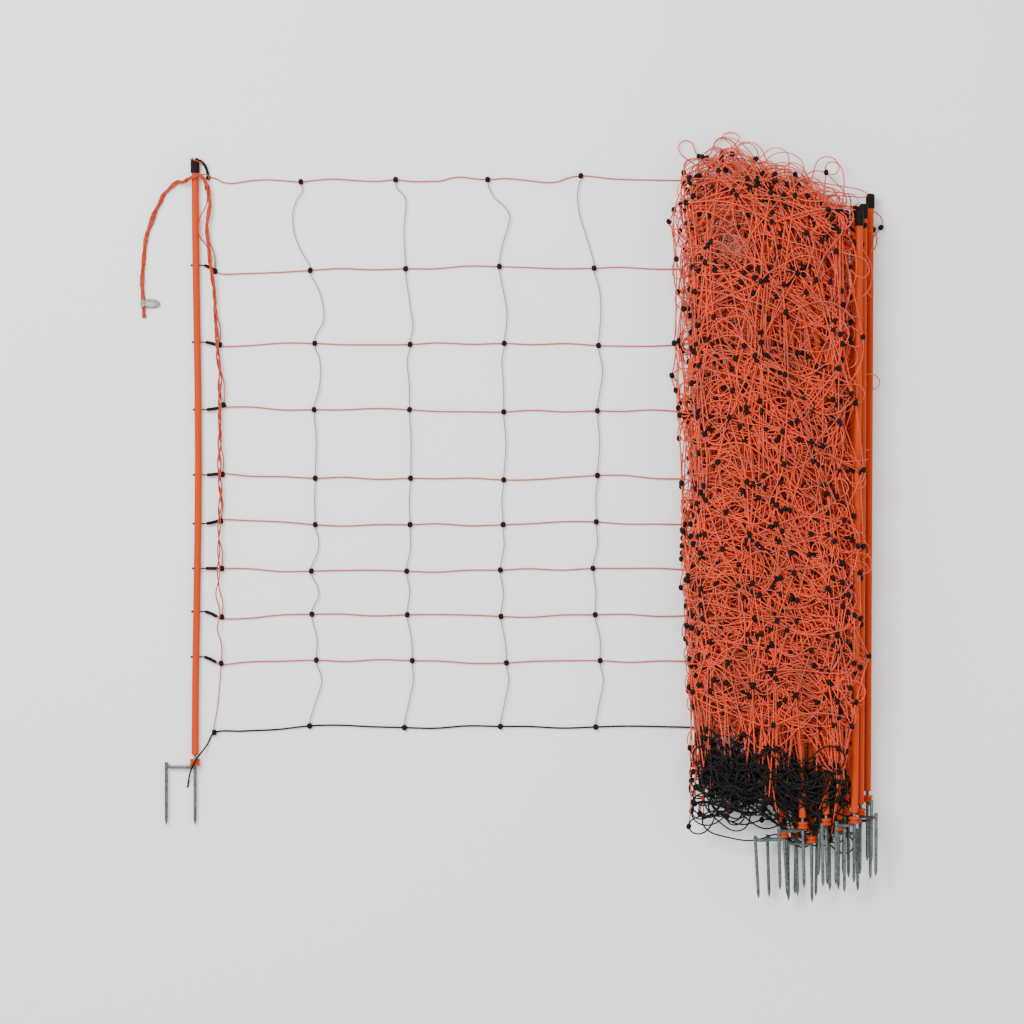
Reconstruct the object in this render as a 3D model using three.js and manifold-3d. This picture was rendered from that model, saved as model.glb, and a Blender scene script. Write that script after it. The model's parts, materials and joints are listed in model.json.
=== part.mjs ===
// Electric sheep netting, 108 cm high: one bay is spread flat beside its end post, and the rest
// of the net is gathered in a heap with its posts. Everything lies on a floor. Millimetres, with
// X along the net, Y up the height of the net as it would stand, and Z up from the floor.
import * as THREE from "three";
import Module from "manifold-3d";
import { mergeVertices } from "three/addons/utils/BufferGeometryUtils.js";

const wasm = await Module();
wasm.setup();

// Strands and knots.
const LIVE_D = 2.6;
const GROUND_D = 3.2;
const LOW_Z = 3.2; // centre of the horizontals over the floor
const CROSSING = 0.7; // between a horizontal and the upright over it
const KNOT_D = 9.6;
const KNOT_H = 10.4;
const COLUMN_GAP = 171.5;
const FIRST_COLUMN_X = -361;
const GROUND_ROW_Y = -388;
const ROW_GAPS = [119, 84, 82, 82, 83, 122, 120, 137, 161]; // from the ground strand up

// Posts.
const POST_D = 13;
const POST_L = 1070;
const POST_BOW = 6;
const CAP_D = 16.4;
const CAP_L = 27;
const CAP_OVER = 18; // how far a cap comes down over its tube
const COLLAR_D = 19;
const COLLAR_L = 12.4;
const ROD_D = 6;
const ROD_UP = 60; // how far a spike is pushed up into its tube
const BAR_DROP = 4.2; // from the tube's end to the middle of the cross bar
const SPIKE_GAP = 52; // from leg to leg
const SPIKE_L = 126; // from the tube's end to the tips
const TIP_L = 9;
const BEND_R = 9;
const HOOK_D = 5.6;
const EYE_D = 8.4;
const LINK_D = 6.4;
const LINK_PIN_D = 2.6;
const END_X = -574; // the end post's foot
const END_Y = -438;

// The lead that joins the live strands, and the connector on its free end.
const RISER_D = 7;
const PIGTAIL_D = 7.4;
const CLIP_L = 33;
const CLIP_W = 17;
const CLIP_H = 9.4;

// Heaps of gathered net.
const LIVE_HEAP_H = 122;
const GROUND_HEAP_H = 106;
const FIRST_LAYER_Z = 22;
const LAYER_STEP = COLLAR_D + 2;
const STRAND_IN = 16; // how far a strand goes into its heap
const SOCKET_SPARE = 40; // how far the hole for it reaches out of the heap
const HEAP_LEFT_HALF = 420; // all of the left edge lies to the left of this

// Fits.
const FIT = 0.3; // clearance all round what passes through or over another piece
const SEAT = 0.35; // clearance round what lies in a heap

const HIGH_Z = LOW_Z + (LIVE_D + GROUND_D) / 2 + CROSSING; // centre of the uprights
const KNOT_Z = (LOW_Z + HIGH_Z) / 2;
const POST_Z = COLLAR_D / 2;

function finish(color, roughness, metalness) {
  return new THREE.MeshStandardMaterial({ color, roughness, metalness });
}

const LIVE = finish(0xd8643a, 0.6, 0);
const GROUND = finish(0x3c4044, 0.7, 0);
const POST = finish(0xd66230, 0.45, 0);
const BLACK = finish(0x1e1d1c, 0.5, 0);
const STEEL = finish(0x96a09b, 0.5, 0.8);
const CLIP = finish(0xb4b4ac, 0.4, 0.9);

const net = new THREE.Group();

function v(x, y, z = 0) {
  return new THREE.Vector3(x, y, z);
}

function solidOf(geometry) {
  const bare = geometry.clone();
  for (const name of Object.keys(bare.attributes)) {
    if (name !== "position") bare.deleteAttribute(name);
  }
  const merged = mergeVertices(bare, 1e-3);
  const vertProperties = new Float32Array(merged.attributes.position.array);
  const triVerts = new Uint32Array(merged.index.array);
  const mesh = new wasm.Mesh({ numProp: 3, vertProperties, triVerts });
  mesh.merge();
  return new wasm.Manifold(mesh);
}

function geometryOf(solid) {
  const mesh = solid.getMesh();
  const geometry = new THREE.BufferGeometry();
  geometry.setAttribute("position", new THREE.BufferAttribute(mesh.vertProperties, 3));
  geometry.setIndex(new THREE.BufferAttribute(mesh.triVerts, 1));
  return geometry;
}

function joined(geometries) {
  return geometryOf(geometries.map(solidOf).reduce((all, one) => all.add(one)));
}

function cut(geometry, tools) {
  return geometryOf(tools.map(solidOf).reduce((left, tool) => left.subtract(tool), solidOf(geometry)));
}

function piece(name, geometry, material, parent = net) {
  const faceted = geometry.index ? geometry.toNonIndexed() : geometry;
  faceted.computeVertexNormals();
  const mesh = new THREE.Mesh(faceted, material);
  mesh.name = name;
  parent.add(mesh);
  return mesh;
}

// A piece turned about Y, from a profile of [radius, y] that runs upwards outside.
function turned(profile, sides) {
  return new THREE.LatheGeometry(profile.map(([r, y]) => new THREE.Vector2(r, y)), sides);
}

function polygon(diameter, sides) {
  const corners = [];
  for (let i = 0; i < sides; i += 1) {
    const a = (2 * Math.PI * (i + 0.5)) / sides;
    corners.push(new THREE.Vector2(Math.cos(a), Math.sin(a)).multiplyScalar(diameter / 2));
  }
  return new THREE.Shape(corners);
}

// A route from point to point, with one section of its strand at each point.
class Route extends THREE.Curve {
  constructor(points) {
    super();
    this.points = points;
  }

  getPointAt(share, target = new THREE.Vector3()) {
    const place = share * (this.points.length - 1);
    const i = Math.min(Math.floor(place), this.points.length - 2);
    return target.lerpVectors(this.points[i], this.points[i + 1], place - i);
  }

  getTangentAt(share, target = new THREE.Vector3()) {
    const i = Math.round(share * (this.points.length - 1));
    const [before, after] = [Math.max(i - 1, 0), Math.min(i + 1, this.points.length - 1)];
    return target.subVectors(this.points[after], this.points[before]).normalize();
  }
}

// A strand, lead or rod along the points.
function along(points, diameter, sides) {
  const options = { steps: points.length - 1, extrudePath: new Route(points), bevelEnabled: false };
  return new THREE.ExtrudeGeometry(polygon(diameter, sides), options);
}

// As many points again along a smooth line through the points.
function smooth(points, count) {
  return new THREE.CatmullRomCurve3(points, false, "centripetal").getSpacedPoints(count);
}

// How far each knot lies from its place in the even grid, from the top row down.
const KNOT_SHIFTS = [
  [[-22, -4], [-22, 0], [-27, 0], [-30, 7]],
  [[-5, -3], [-4, 0], [-6, 4], [-6, 1]],
  [[3, 2], [4, 0], [3, 2], [2, -2]],
  [[2, 2], [3, 2], [2, -2], [0, 0]],
  [[4, 0], [5, 0], [2, -3], [0, 5]],
  [[4, -1], [4, -1], [1, -1], [-2, 4]],
  [[-3, -3], [-2, -3], [-4, -1], [-8, 2]],
  [[-2, 1], [-1, 0], [-3, -3], [-4, 0]],
  [[6, 2], [8, 1], [7, -3], [5, 1]],
  [[-6, 2], [-6, -1], [-4, 1], [-3, 0]],
];

// The bends of each upright from knot to knot: how far along, and how far to the right.
const UPRIGHT_BENDS = [
  [
    [[0.09, 3], [0.2, -10], [0.34, -20], [0.44, -22], [0.6, -21], [0.78, -13]],
    [[0.2, 10], [0.45, 19], [0.7, 18], [0.88, 4]],
    [[0.23, 9], [0.5, 11], [0.72, 8]],
    [[0.43, 3]], [[0.5, -1]], [[0.29, 8], [0.57, 9]], [[0.37, 11], [0.56, 13]], [[0.54, 5]],
    [[0.2, 10], [0.34, 14], [0.55, 9]],
  ],
  [
    [[0.1, 1], [0.18, 12], [0.26, 14], [0.4, 10], [0.6, 4]],
    [[0.47, 4], [0.78, 7]],
    [[0.24, -5], [0.6, -1]],
    [[0.5, 2]], [[0.5, -2]], [[0.5, 4]], [[0.45, 5]], [[0.5, 3]],
    [[0.3, 6], [0.6, 3]],
  ],
  [
    [[0.1, 1], [0.2, 7], [0.3, 22], [0.4, 31], [0.5, 28], [0.66, 17], [0.82, 7]],
    [[0.25, 3], [0.53, 8], [0.72, 7]],
    [[0.24, -4], [0.6, -1]],
    [[0.5, 4]], [[0.5, -3]], [[0.5, 4]], [[0.5, 5]], [[0.5, 2]],
    [[0.25, 7], [0.6, 4]],
  ],
  [
    [[0.1, -6], [0.25, -12], [0.44, -12], [0.69, -5]],
    [[0.25, 7], [0.52, 8], [0.79, 4]],
    [[0.37, 8], [0.7, 4]],
    [[0.5, 4]], [[0.5, -2]], [[0.5, 5]], [[0.5, 3]], [[0.5, 4]],
    [[0.3, 8], [0.6, 4]],
  ],
];

// The slack waves of the top strand between its knots: how far along, and how far up.
const TOP_WAVES = [
  [[0.09, -7], [0.21, -8], [0.37, -3], [0.58, 1], [0.77, 1]],
  [[0.12, 2], [0.34, 4], [0.6, 0], [0.82, -2]],
  [[0.16, -3], [0.37, -3], [0.5, -2], [0.6, 3], [0.7, 5], [0.85, 2]],
  [[0.17, 1], [0.46, -5], [0.6, -9], [0.75, -9], [0.86, -3]],
  [[0.33, -3], [0.69, -2]],
];

const rowY = [GROUND_ROW_Y];
for (const gap of ROW_GAPS) rowY.unshift(rowY[0] + gap);
const LAST_ROW = rowY.length - 1;
const knots = KNOT_SHIFTS.map((row, i) =>
  row.map(([dx, dy], c) => [FIRST_COLUMN_X + COLUMN_GAP * c + dx, rowY[i] + dy]),
);

// The heap of live strands, as seen from above, and the heap of the ground strand below it.
const LIVE_OUTLINE = [
  [296, 598], [321, 636], [362, 655], [412, 672], [477, 651], [530, 609], [590, 533], [646, 508],
  [655, 420], [656, 200], [654, 20], [655, -200], [654, -380], [640, -428], [500, -432],
  [340, -430], [309, -415], [318, -267], [305, -90], [303, 30], [292, 180], [280, 303],
  [278, 385], [290, 475], [294, 529],
];
const GROUND_OUTLINE = [
  [634, -447], [652, -466], [640, -488], [600, -498], [540, -501], [466, -503], [388, -504],
  [336, -500], [310, -484], [304, -464], [320, -449], [480, -447],
];
// How far in the heap's side stands at each share of its height.
const DOME = [[0, 0], [0.97, 0], [1, 0.2], [0.97, 0.5], [0.87, 0.78], [0.68, 0.94], [0.4, 1], [0, 1]];

function outlinePoints(outline, sides) {
  const path = new THREE.CatmullRomCurve3(outline.map(([x, y]) => v(x, y)), true);
  return path.getSpacedPoints(sides).slice(0, sides).reverse();
}

// Turned as a dome, then pulled out to the outline.
function heap(outline, sides, height) {
  const edge = outlinePoints(outline, sides);
  const middle = edge.reduce((sum, p) => sum.add(p), v(0, 0)).divideScalar(sides);
  const geometry = turned(DOME, sides);
  const place = geometry.attributes.position;
  for (let i = 0; i < place.count; i += 1) {
    const [r, h] = DOME[i % DOME.length];
    const corner = edge[Math.floor(i / DOME.length) % sides];
    const [dx, dy] = [corner.x - middle.x, corner.y - middle.y];
    const slope = Math.min(1, Math.abs(dx / (Math.abs(dy) + 1)) + 0.45);
    const reach = r === 0 ? 0 : 1 - (1 - r) * slope;
    place.setXYZ(i, middle.x + dx * r, middle.y + dy * reach, h * height);
  }
  return geometry;
}

// Where the left side of the live heap stands at a height of the net.
function heapEdge(y) {
  const edge = outlinePoints(LIVE_OUTLINE, 200);
  const near = edge.filter((p) => Math.abs(p.y - y) < 12 && p.x < HEAP_LEFT_HALF);
  return near.reduce((least, p) => Math.min(least, p.x), Infinity);
}

const entries = rowY.map((y) => [heapEdge(y) + STRAND_IN, y - 1]);

function bowAt(y) {
  return POST_BOW * Math.sin((Math.PI * y) / POST_L) ** 2;
}

const capFoot = POST_L - CAP_OVER;

// Each post is built along Y with the end of its tube at y = 0.
function bowed(geometry) {
  const place = geometry.attributes.position;
  for (let i = 0; i < place.count; i += 1) place.setX(i, place.getX(i) + bowAt(place.getY(i)));
  return geometry;
}

function tube(sides, stretches) {
  const [r, bore] = [POST_D / 2, ROD_D / 2 + FIT];
  const profile = [[0, ROD_UP + FIT], [bore, ROD_UP + FIT], [bore, 0], [r, 0]];
  for (let i = 1; i <= stretches; i += 1) profile.push([r, (POST_L * i) / stretches]);
  return turned([...profile, [0, POST_L]], sides);
}

function cappedTube(sides) {
  const [r, bore, cap, top] = [POST_D / 2, ROD_D / 2 + FIT, CAP_D / 2, capFoot + CAP_L];
  const inside = [[0, ROD_UP + FIT], [bore, ROD_UP + FIT], [bore, 0]];
  const outside = [[r, 0], [r, capFoot], [cap, capFoot], [cap, top - 4], [cap - 3, top], [0, top]];
  return turned([...inside, ...outside], sides);
}

// The room that a capped tube takes in a heap.
function lane() {
  const flat = Math.cos(Math.PI / 6);
  const [r, cap] = [(POST_D / 2 + SEAT) / flat, (CAP_D / 2 + SEAT) / flat];
  const top = capFoot + CAP_L + SEAT;
  const profile = [[0, -SEAT], [r, -SEAT], [r, capFoot - SEAT], [cap, capFoot - SEAT], [cap, top], [0, top]];
  return turned(profile, 6);
}

function spike(sides) {
  const r = ROD_D / 2;
  const leg = (top) => {
    const profile = [[0, -SPIKE_L], [r * 0.3, -SPIKE_L + 1], [r, -SPIKE_L + TIP_L], [r, top], [0, top]];
    return turned(profile, sides);
  };
  const bend = [
    v(0, -BAR_DROP),
    v(-SPIKE_GAP + BEND_R, -BAR_DROP),
    v(-SPIKE_GAP + BEND_R * 0.3, -BAR_DROP - BEND_R * 0.3),
    v(-SPIKE_GAP, -BAR_DROP - BEND_R),
    v(-SPIKE_GAP, -BAR_DROP - BEND_R - 12),
  ];
  const second = leg(-BAR_DROP - BEND_R - 6).translate(-SPIKE_GAP, 0, 0);
  return joined([leg(ROD_UP), along(bend, ROD_D, sides), second]);
}

const collarTop = -BAR_DROP - ROD_D / 2 - FIT;

function grooved() {
  const [r, bore, foot] = [COLLAR_D / 2, ROD_D / 2 + FIT, collarTop - COLLAR_L];
  const profile = [
    [bore, foot],
    [r - 1.6, foot],
    [r, foot + 1.6],
    [r, foot + COLLAR_L * 0.38],
    [r - 2, foot + COLLAR_L * 0.45],
    [r - 2, foot + COLLAR_L * 0.55],
    [r, foot + COLLAR_L * 0.62],
    [r, collarTop - 1.6],
    [r - 1.6, collarTop],
    [bore, collarTop],
    [bore, foot],
  ];
  return turned(profile, 12);
}

function plainCollar() {
  const [r, foot] = [COLLAR_D / 2, collarTop - COLLAR_L];
  return turned([[0, foot], [r, foot], [r, collarTop], [0, collarTop]], 8);
}

// The end post, with its cap and hook, its collar and its double spike.
const EYE_X = 23.5;
const EYE_Y = -8;
const EYE_SINK = 4;

function hookedCap() {
  const [r, bore] = [CAP_D / 2, POST_D / 2 + FIT];
  const inside = CAP_OVER + FIT;
  const profile = [[0, inside], [bore, inside], [bore, 0], [r, 0], [r, CAP_L - 4], [r - 3, CAP_L], [0, CAP_L]];
  const arm = [
    v(4, 22.8),
    v(11, 21),
    v(18, 13, -EYE_SINK * 0.4),
    v(22, 2, -EYE_SINK * 0.75),
    v(EYE_X - 0.4, EYE_Y + 3, -EYE_SINK),
  ];
  const e = EYE_D / 2;
  const eye = turned([[0, -4], [e * 0.7, -4], [e, -1.6], [e, 1.6], [e * 0.7, 4], [0, 4]], 8);
  const slot = new THREE.BoxGeometry(3.2, 6, CAP_D + 4).translate(-1, CAP_L, 0);
  const hook = along(smooth(arm, 6), HOOK_D, 8);
  const whole = joined([turned(profile, 12), hook, eye.translate(EYE_X, EYE_Y, -EYE_SINK)]);
  return cut(whole, [slot]).translate(0, capFoot, 0);
}

const endPost = new THREE.Group();
endPost.position.set(END_X, END_Y, POST_Z);
net.add(endPost);
piece("end_post_tube", bowed(tube(12, 8)), POST, endPost);
piece("end_post_cap", hookedCap(), BLACK, endPost);
piece("end_post_spike", spike(8), STEEL, endPost);
piece("end_post_collar", grooved(), POST, endPost);

// The links that hold the live strands off the end post: the rise from post to tip.
const LINK_OUT = 9; // from the post's side to the link
const LINK_L = 21;
const LINK_RISES = [-11, -5, 3, 2, 5, 0, -9, -10];
const LINK_FEET = [6, 4, 2, 6, 1, 2, 6, 8]; // how far over its row a link starts
const LINK_FALL = 2.6; // how much lower over the floor its tip lies
const linkTips = LINK_RISES.map((rise, i) => {
  const y = rowY[i + 1] + LINK_FEET[i];
  const side = END_X + bowAt(y - END_Y) + POST_D / 2;
  const [foot, tip] = [v(side + LINK_OUT, y, POST_Z), v(side + LINK_OUT + LINK_L, y + rise, POST_Z)];
  tip.z -= LINK_FALL;
  const middle = foot.clone().lerp(tip, 0.5).add(v(0, rise * -0.12, 0));
  const sleeve = along([foot, middle, tip], LINK_D, 8);
  const pin = along([v(side + FIT, y, POST_Z), foot.clone().add(v(2, 0))], LINK_PIN_D, 6);
  piece(`link_${i + 2}`, joined([sleeve, pin]), BLACK);
  return { tip, way: tip.clone().sub(middle).normalize() };
});

// The knots, the uprights through them and the horizontals.
const STRAND_SIDES = 5;

function between(from, to, share, sideX, sideY, z) {
  return v(from[0] + (to[0] - from[0]) * share + sideX, from[1] + (to[1] - from[1]) * share + sideY, z);
}

// An upright runs straight down through each knot.
function uprightLine(column) {
  const points = [];
  knots.forEach((row, i) => {
    const [x, y] = row[column];
    points.push(v(x, y + KNOT_H * 0.6, HIGH_Z), v(x, y - KNOT_H * 0.6, HIGH_Z));
    for (const [share, right] of UPRIGHT_BENDS[column][i] ?? []) {
      points.push(between(row[column], knots[i + 1][column], share, right, 0, HIGH_Z));
    }
  });
  return points;
}

function rowStart(i) {
  if (i === 0) {
    const face = v(END_X + EYE_X + EYE_D / 2, END_Y + capFoot + EYE_Y, POST_Z - EYE_SINK);
    return [face.clone().add(v(FIT, 0)), face.add(v(8, -1))];
  }
  const { tip, way } = linkTips[i - 1];
  return [FIT, 7].map((far) => tip.clone().addScaledVector(way, far));
}

// The ground strand is tied round the end post's collar, and its tail lies past it.
function groundTie() {
  const groove = END_Y + collarTop - COLLAR_L / 2;
  const over = POST_Z + COLLAR_D / 2 + FIT + GROUND_D / 2;
  return [
    v(END_X - 14, groove - 46, GROUND_D / 2 + FIT),
    v(END_X - 11, groove - 28, 6),
    v(END_X - 5, groove - 9, over + 0.4),
    v(END_X + 4, groove + 8, over + 0.4),
    v(END_X + 12, groove + 18, over - 6),
    v(END_X + 22, groove + 32, 6),
    v(END_X + 34, groove + 53, LOW_Z),
  ];
}

const uprightLines = knots[0].map((_, column) => uprightLine(column));

// The hole that an upright leaves in a knot.
function sleeve(x, y) {
  const r = (LIVE_D / 2 + FIT) / Math.cos(Math.PI / 6);
  return new THREE.CylinderGeometry(r, r, 2 * KNOT_H, 6).translate(x, y, HIGH_Z);
}

function knot(x, y) {
  const [r, h] = [KNOT_D / 2, KNOT_H / 2];
  return turned([[0, -h], [r, -h * 0.5], [r, h * 0.5], [0, h]], 6).translate(x, y, KNOT_Z);
}

function horizontal(i) {
  const isGround = i === LAST_ROW;
  const points = isGround ? groundTie() : rowStart(i);
  const stops = [...knots[i], entries[i]];
  stops.forEach((stop, k) => {
    const last = points[points.length - 1];
    const from = [last.x, last.y];
    const sway = (share) => 2.4 * Math.sin(2.3 * i + 4.1 * k + 5 * share);
    const waves = i === 0 ? TOP_WAVES[k] : [0.3, 0.66].map((share) => [share, sway(share)]);
    for (const [share, up] of waves) points.push(between(from, stop, share, 0, up, LOW_Z));
    points.push(v(...stop, LOW_Z));
  });
  const bodies = [along(points, isGround ? GROUND_D : LIVE_D, STRAND_SIDES)];
  for (const [x, y] of knots[i]) bodies.push(cut(knot(x, y), [sleeve(x, y)]));
  return joined(bodies);
}

uprightLines.forEach((line, column) => {
  piece(`upright_strand_${column + 1}`, along(line, LIVE_D, STRAND_SIDES), LIVE);
});
rowY.forEach((_, i) => {
  if (i < LAST_ROW) piece(`live_strand_${i + 1}`, horizontal(i), LIVE);
  else piece("ground_strand", horizontal(i), GROUND);
});

// The gathered posts: foot x and y, head x, layer in the heap, and the spike's turn in degrees.
const GATHERED = [
  [511, -566, 477, 0, 5],
  [571, -557, 553, 0, 161],
  [606, -533, 600, 0, 135],
  [641, -503, 646, 0, 94],
  [488, -566, 426, 1, -2],
  [549, -565, 573, 1, -47],
  [598, -526, 617, 1, 27],
  [537, -574, 526, 2, -39],
  [625, -524, 631, 2, 119],
  [586, -552, 589, 2, 98],
  [520, -547, 495, 3, 31],
  [562, -541, 542, 3, 78],
  [613, -538, 622, 3, 48],
];

const lanes = GATHERED.map(([x, y, headX, layer, turn], i) => {
  const name = String(i + 1).padStart(2, "0");
  const post = new THREE.Group();
  const lean = Math.asin((headX - x) / POST_L);
  post.position.set(x, y, FIRST_LAYER_Z + LAYER_STEP * layer);
  post.rotation.set(0, THREE.MathUtils.degToRad(turn), -lean, "ZYX");
  post.updateMatrix();
  net.add(post);
  piece(`gathered_post_${name}`, cappedTube(8), POST, post);
  piece(`gathered_spike_${name}`, joined([spike(6), plainCollar()]), STEEL, post);
  return lane().applyMatrix4(post.matrix);
});

// The heaps, hollowed where posts and strand ends lie in them.
const sockets = entries.map(([x, y]) => {
  const depth = STRAND_IN + SOCKET_SPARE;
  const socket = new THREE.CylinderGeometry(GROUND_D / 2 + SEAT, GROUND_D / 2 + SEAT, depth, 8);
  return socket.rotateZ(Math.PI / 2).translate(x + SEAT - depth / 2, y, LOW_Z);
});
piece("netting_heap_live", cut(heap(LIVE_OUTLINE, 30, LIVE_HEAP_H), [...lanes, ...sockets]), LIVE);
piece("netting_heap_ground", cut(heap(GROUND_OUTLINE, 20, GROUND_HEAP_H), lanes), GROUND);

// The lead up the end post that joins the live strands, and over the cap to the left. Its places are
// given as x and how far down from the end post's top.
const POST_TOP = END_Y + POST_L;
const RISER_Z = 13.5;
const OVER_TUBE = POST_Z + POST_D / 2 + RISER_D / 2 + FIT;
const RISER = [
  [-589, 32, 17], [-577, 26.5, OVER_TUBE], [-566, 24, OVER_TUBE], [-557, 30, 17],
  [-551.5, 43], [-548.5, 62], [-547.5, 77], [-549.5, 95], [-552, 117], [-550, 147], [-547, 173, 18],
  [-543, 202, 18], [-540, 224], [-537, 262], [-537, 287], [-534, 314], [-532, 354],
  [-528, 385], [-530, 410], [-529, 426], [-529, 486], [-530, 537], [-528, 592], [-529, 622],
  [-531, 692], [-531, 722], [-533, 780], [-532, 807], [-531, 852], [-530, 894],
];
const riserLine = RISER.map(([x, down, z = RISER_Z]) => v(x, POST_TOP - down, z));
piece("lead_riser", along(riserLine, RISER_D, 6), LIVE);

// The free lead, laid on the floor, and the clip on its end.
const PIGTAIL = [
  [-604, 34, 10.5], [-613, 39, 6.5], [-622, 48, 4.6], [-630.5, 56.5, 4], [-639, 73.5, 4],
  [-648, 90, 4], [-657, 115, 4], [-663, 136, 4], [-666, 161, 4], [-669, 193, 4], [-670, 217, 4.7],
  [-669, 240, 4.7], [-667.5, 262, 4.7], [-666, 280, 4.5],
];
const leadEnd = riserLine[0];
const leadWay = leadEnd.clone().sub(riserLine[1]).normalize();
const leadStart = [FIT, 8].map((far) => leadEnd.clone().addScaledVector(leadWay, far));
const pigtailLine = [...leadStart, ...PIGTAIL.map(([x, down, z]) => v(x, POST_TOP - down, z))];

const CLIP_X = -654;
const CLIP_DOWN = 254;
const CLIP_TURN = -3;
const BAND_X = -668.2;
const BAND_W = 11.4;
const BAND_L = 10;

function connector() {
  const plan = new THREE.Shape();
  plan.absellipse(0, 0, CLIP_L / 2, CLIP_W / 2, 0, 2 * Math.PI);
  const round = 1.2;
  const plate = new THREE.ExtrudeGeometry(plan, {
    depth: CLIP_H - 2 * round,
    bevelThickness: round,
    bevelSize: round,
    bevelOffset: -round,
    bevelSegments: 1,
    curveSegments: 9,
  });
  plate.translate(0, 0, round).rotateZ(THREE.MathUtils.degToRad(CLIP_TURN));
  plate.translate(CLIP_X, POST_TOP - CLIP_DOWN, 0);
  const band = new THREE.BoxGeometry(BAND_W, BAND_L, CLIP_H);
  band.translate(BAND_X, POST_TOP - CLIP_DOWN, CLIP_H / 2);
  return cut(joined([plate, band]), [along(pigtailLine, PIGTAIL_D + 2 * FIT, 8)]);
}
piece("pigtail_lead", along(pigtailLine, PIGTAIL_D, 8), LIVE);
piece("connector_clip", connector(), CLIP);

// The origin is on the floor under the middle of the object, its free lead left out.
net.updateMatrixWorld(true);
const box = new THREE.Box3();
net.traverse((one) => {
  const free = ["pigtail_lead", "connector_clip"].includes(one.name);
  if (one.isMesh && !free) box.expandByObject(one, true);
});
const centre = box.getCenter(v(0, 0));
net.position.set(-centre.x, -centre.y, -box.min.z);

const group = new THREE.Group();
group.name = "sheep_netting";
group.add(net);

export default group;
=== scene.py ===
"""Electric sheep netting: one bay spread flat by its end post, the rest gathered with its posts."""
import json
import logging
import math
from dataclasses import dataclass, field
from enum import Enum
from typing import Any, Iterable, Sequence

import bpy
import numpy as np
from mathutils import Matrix, Vector

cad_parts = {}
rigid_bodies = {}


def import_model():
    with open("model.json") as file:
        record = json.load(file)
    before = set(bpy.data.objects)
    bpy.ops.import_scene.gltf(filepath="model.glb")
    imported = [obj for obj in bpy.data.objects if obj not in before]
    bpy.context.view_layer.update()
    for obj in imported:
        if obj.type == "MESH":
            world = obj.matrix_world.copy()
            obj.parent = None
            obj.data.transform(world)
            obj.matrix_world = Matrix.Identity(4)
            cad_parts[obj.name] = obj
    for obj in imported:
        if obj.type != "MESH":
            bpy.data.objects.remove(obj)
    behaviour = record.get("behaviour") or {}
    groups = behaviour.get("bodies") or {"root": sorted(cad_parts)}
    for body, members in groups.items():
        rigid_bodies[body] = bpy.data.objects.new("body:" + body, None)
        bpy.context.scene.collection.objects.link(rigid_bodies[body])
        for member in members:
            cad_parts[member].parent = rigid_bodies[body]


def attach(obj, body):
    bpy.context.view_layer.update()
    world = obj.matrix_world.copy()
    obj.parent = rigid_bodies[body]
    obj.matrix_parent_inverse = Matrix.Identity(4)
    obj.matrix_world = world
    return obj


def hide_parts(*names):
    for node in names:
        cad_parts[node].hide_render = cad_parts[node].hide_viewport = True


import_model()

log = logging.getLogger("sheep_netting")

MM = 0.001
NET_SHIFT = (-13.947, 18.184)  # from the net's own plan to the frame, in mm
ROW_Y = (602, 441, 304, 184, 62, -21, -103, -185, -269, -388)
ROWS = len(ROW_Y)
END_POST_X, END_POST_Y = -574.0, -438.0  # the foot of the end post's tube, in mm
END_POST_BOW = 6.0  # how far its middle stands to the right
POST_LENGTH = 1070.0
Points = Sequence[Sequence[float]]
LEAD_KNOTS: Points = (
    (-537.9, 436.2), (-529.4, 303.2), (-522.5, 194.6), (-524.4, 69.0), (-527.6, -15.4),
    (-525.8, -101.2), (-525.8, -189.1), (-526.9, -272.8),
)  # where the riser's strands meet live rows 2 to 9, in mm


def net_place(x: float, y: float, z: float = 0.0) -> tuple[float, float, float]:
    """Turn a place on the net's plan in millimetres into frame metres.

    Args:
        x: Place along the net.
        y: Place up the net's height.
        z: Height over the floor.

    Returns:
        The place in the frame, in metres.
    """
    return ((x + NET_SHIFT[0]) * MM, (y + NET_SHIFT[1]) * MM, z * MM)


# Finishes.


class Socket:
    """A shader socket on which Python operators build Math nodes."""

    def __init__(self, tree: "Finish", link: Any) -> None:
        """Keep the tree and the output that this socket stands for."""
        self.tree = tree
        self.link = link

    def __add__(self, other: Any) -> "Socket":
        """Return self + other."""
        return self.tree.maths("ADD", self, other)

    def __mul__(self, other: Any) -> "Socket":
        """Return self * other."""
        return self.tree.maths("MULTIPLY", self, other)


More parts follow.
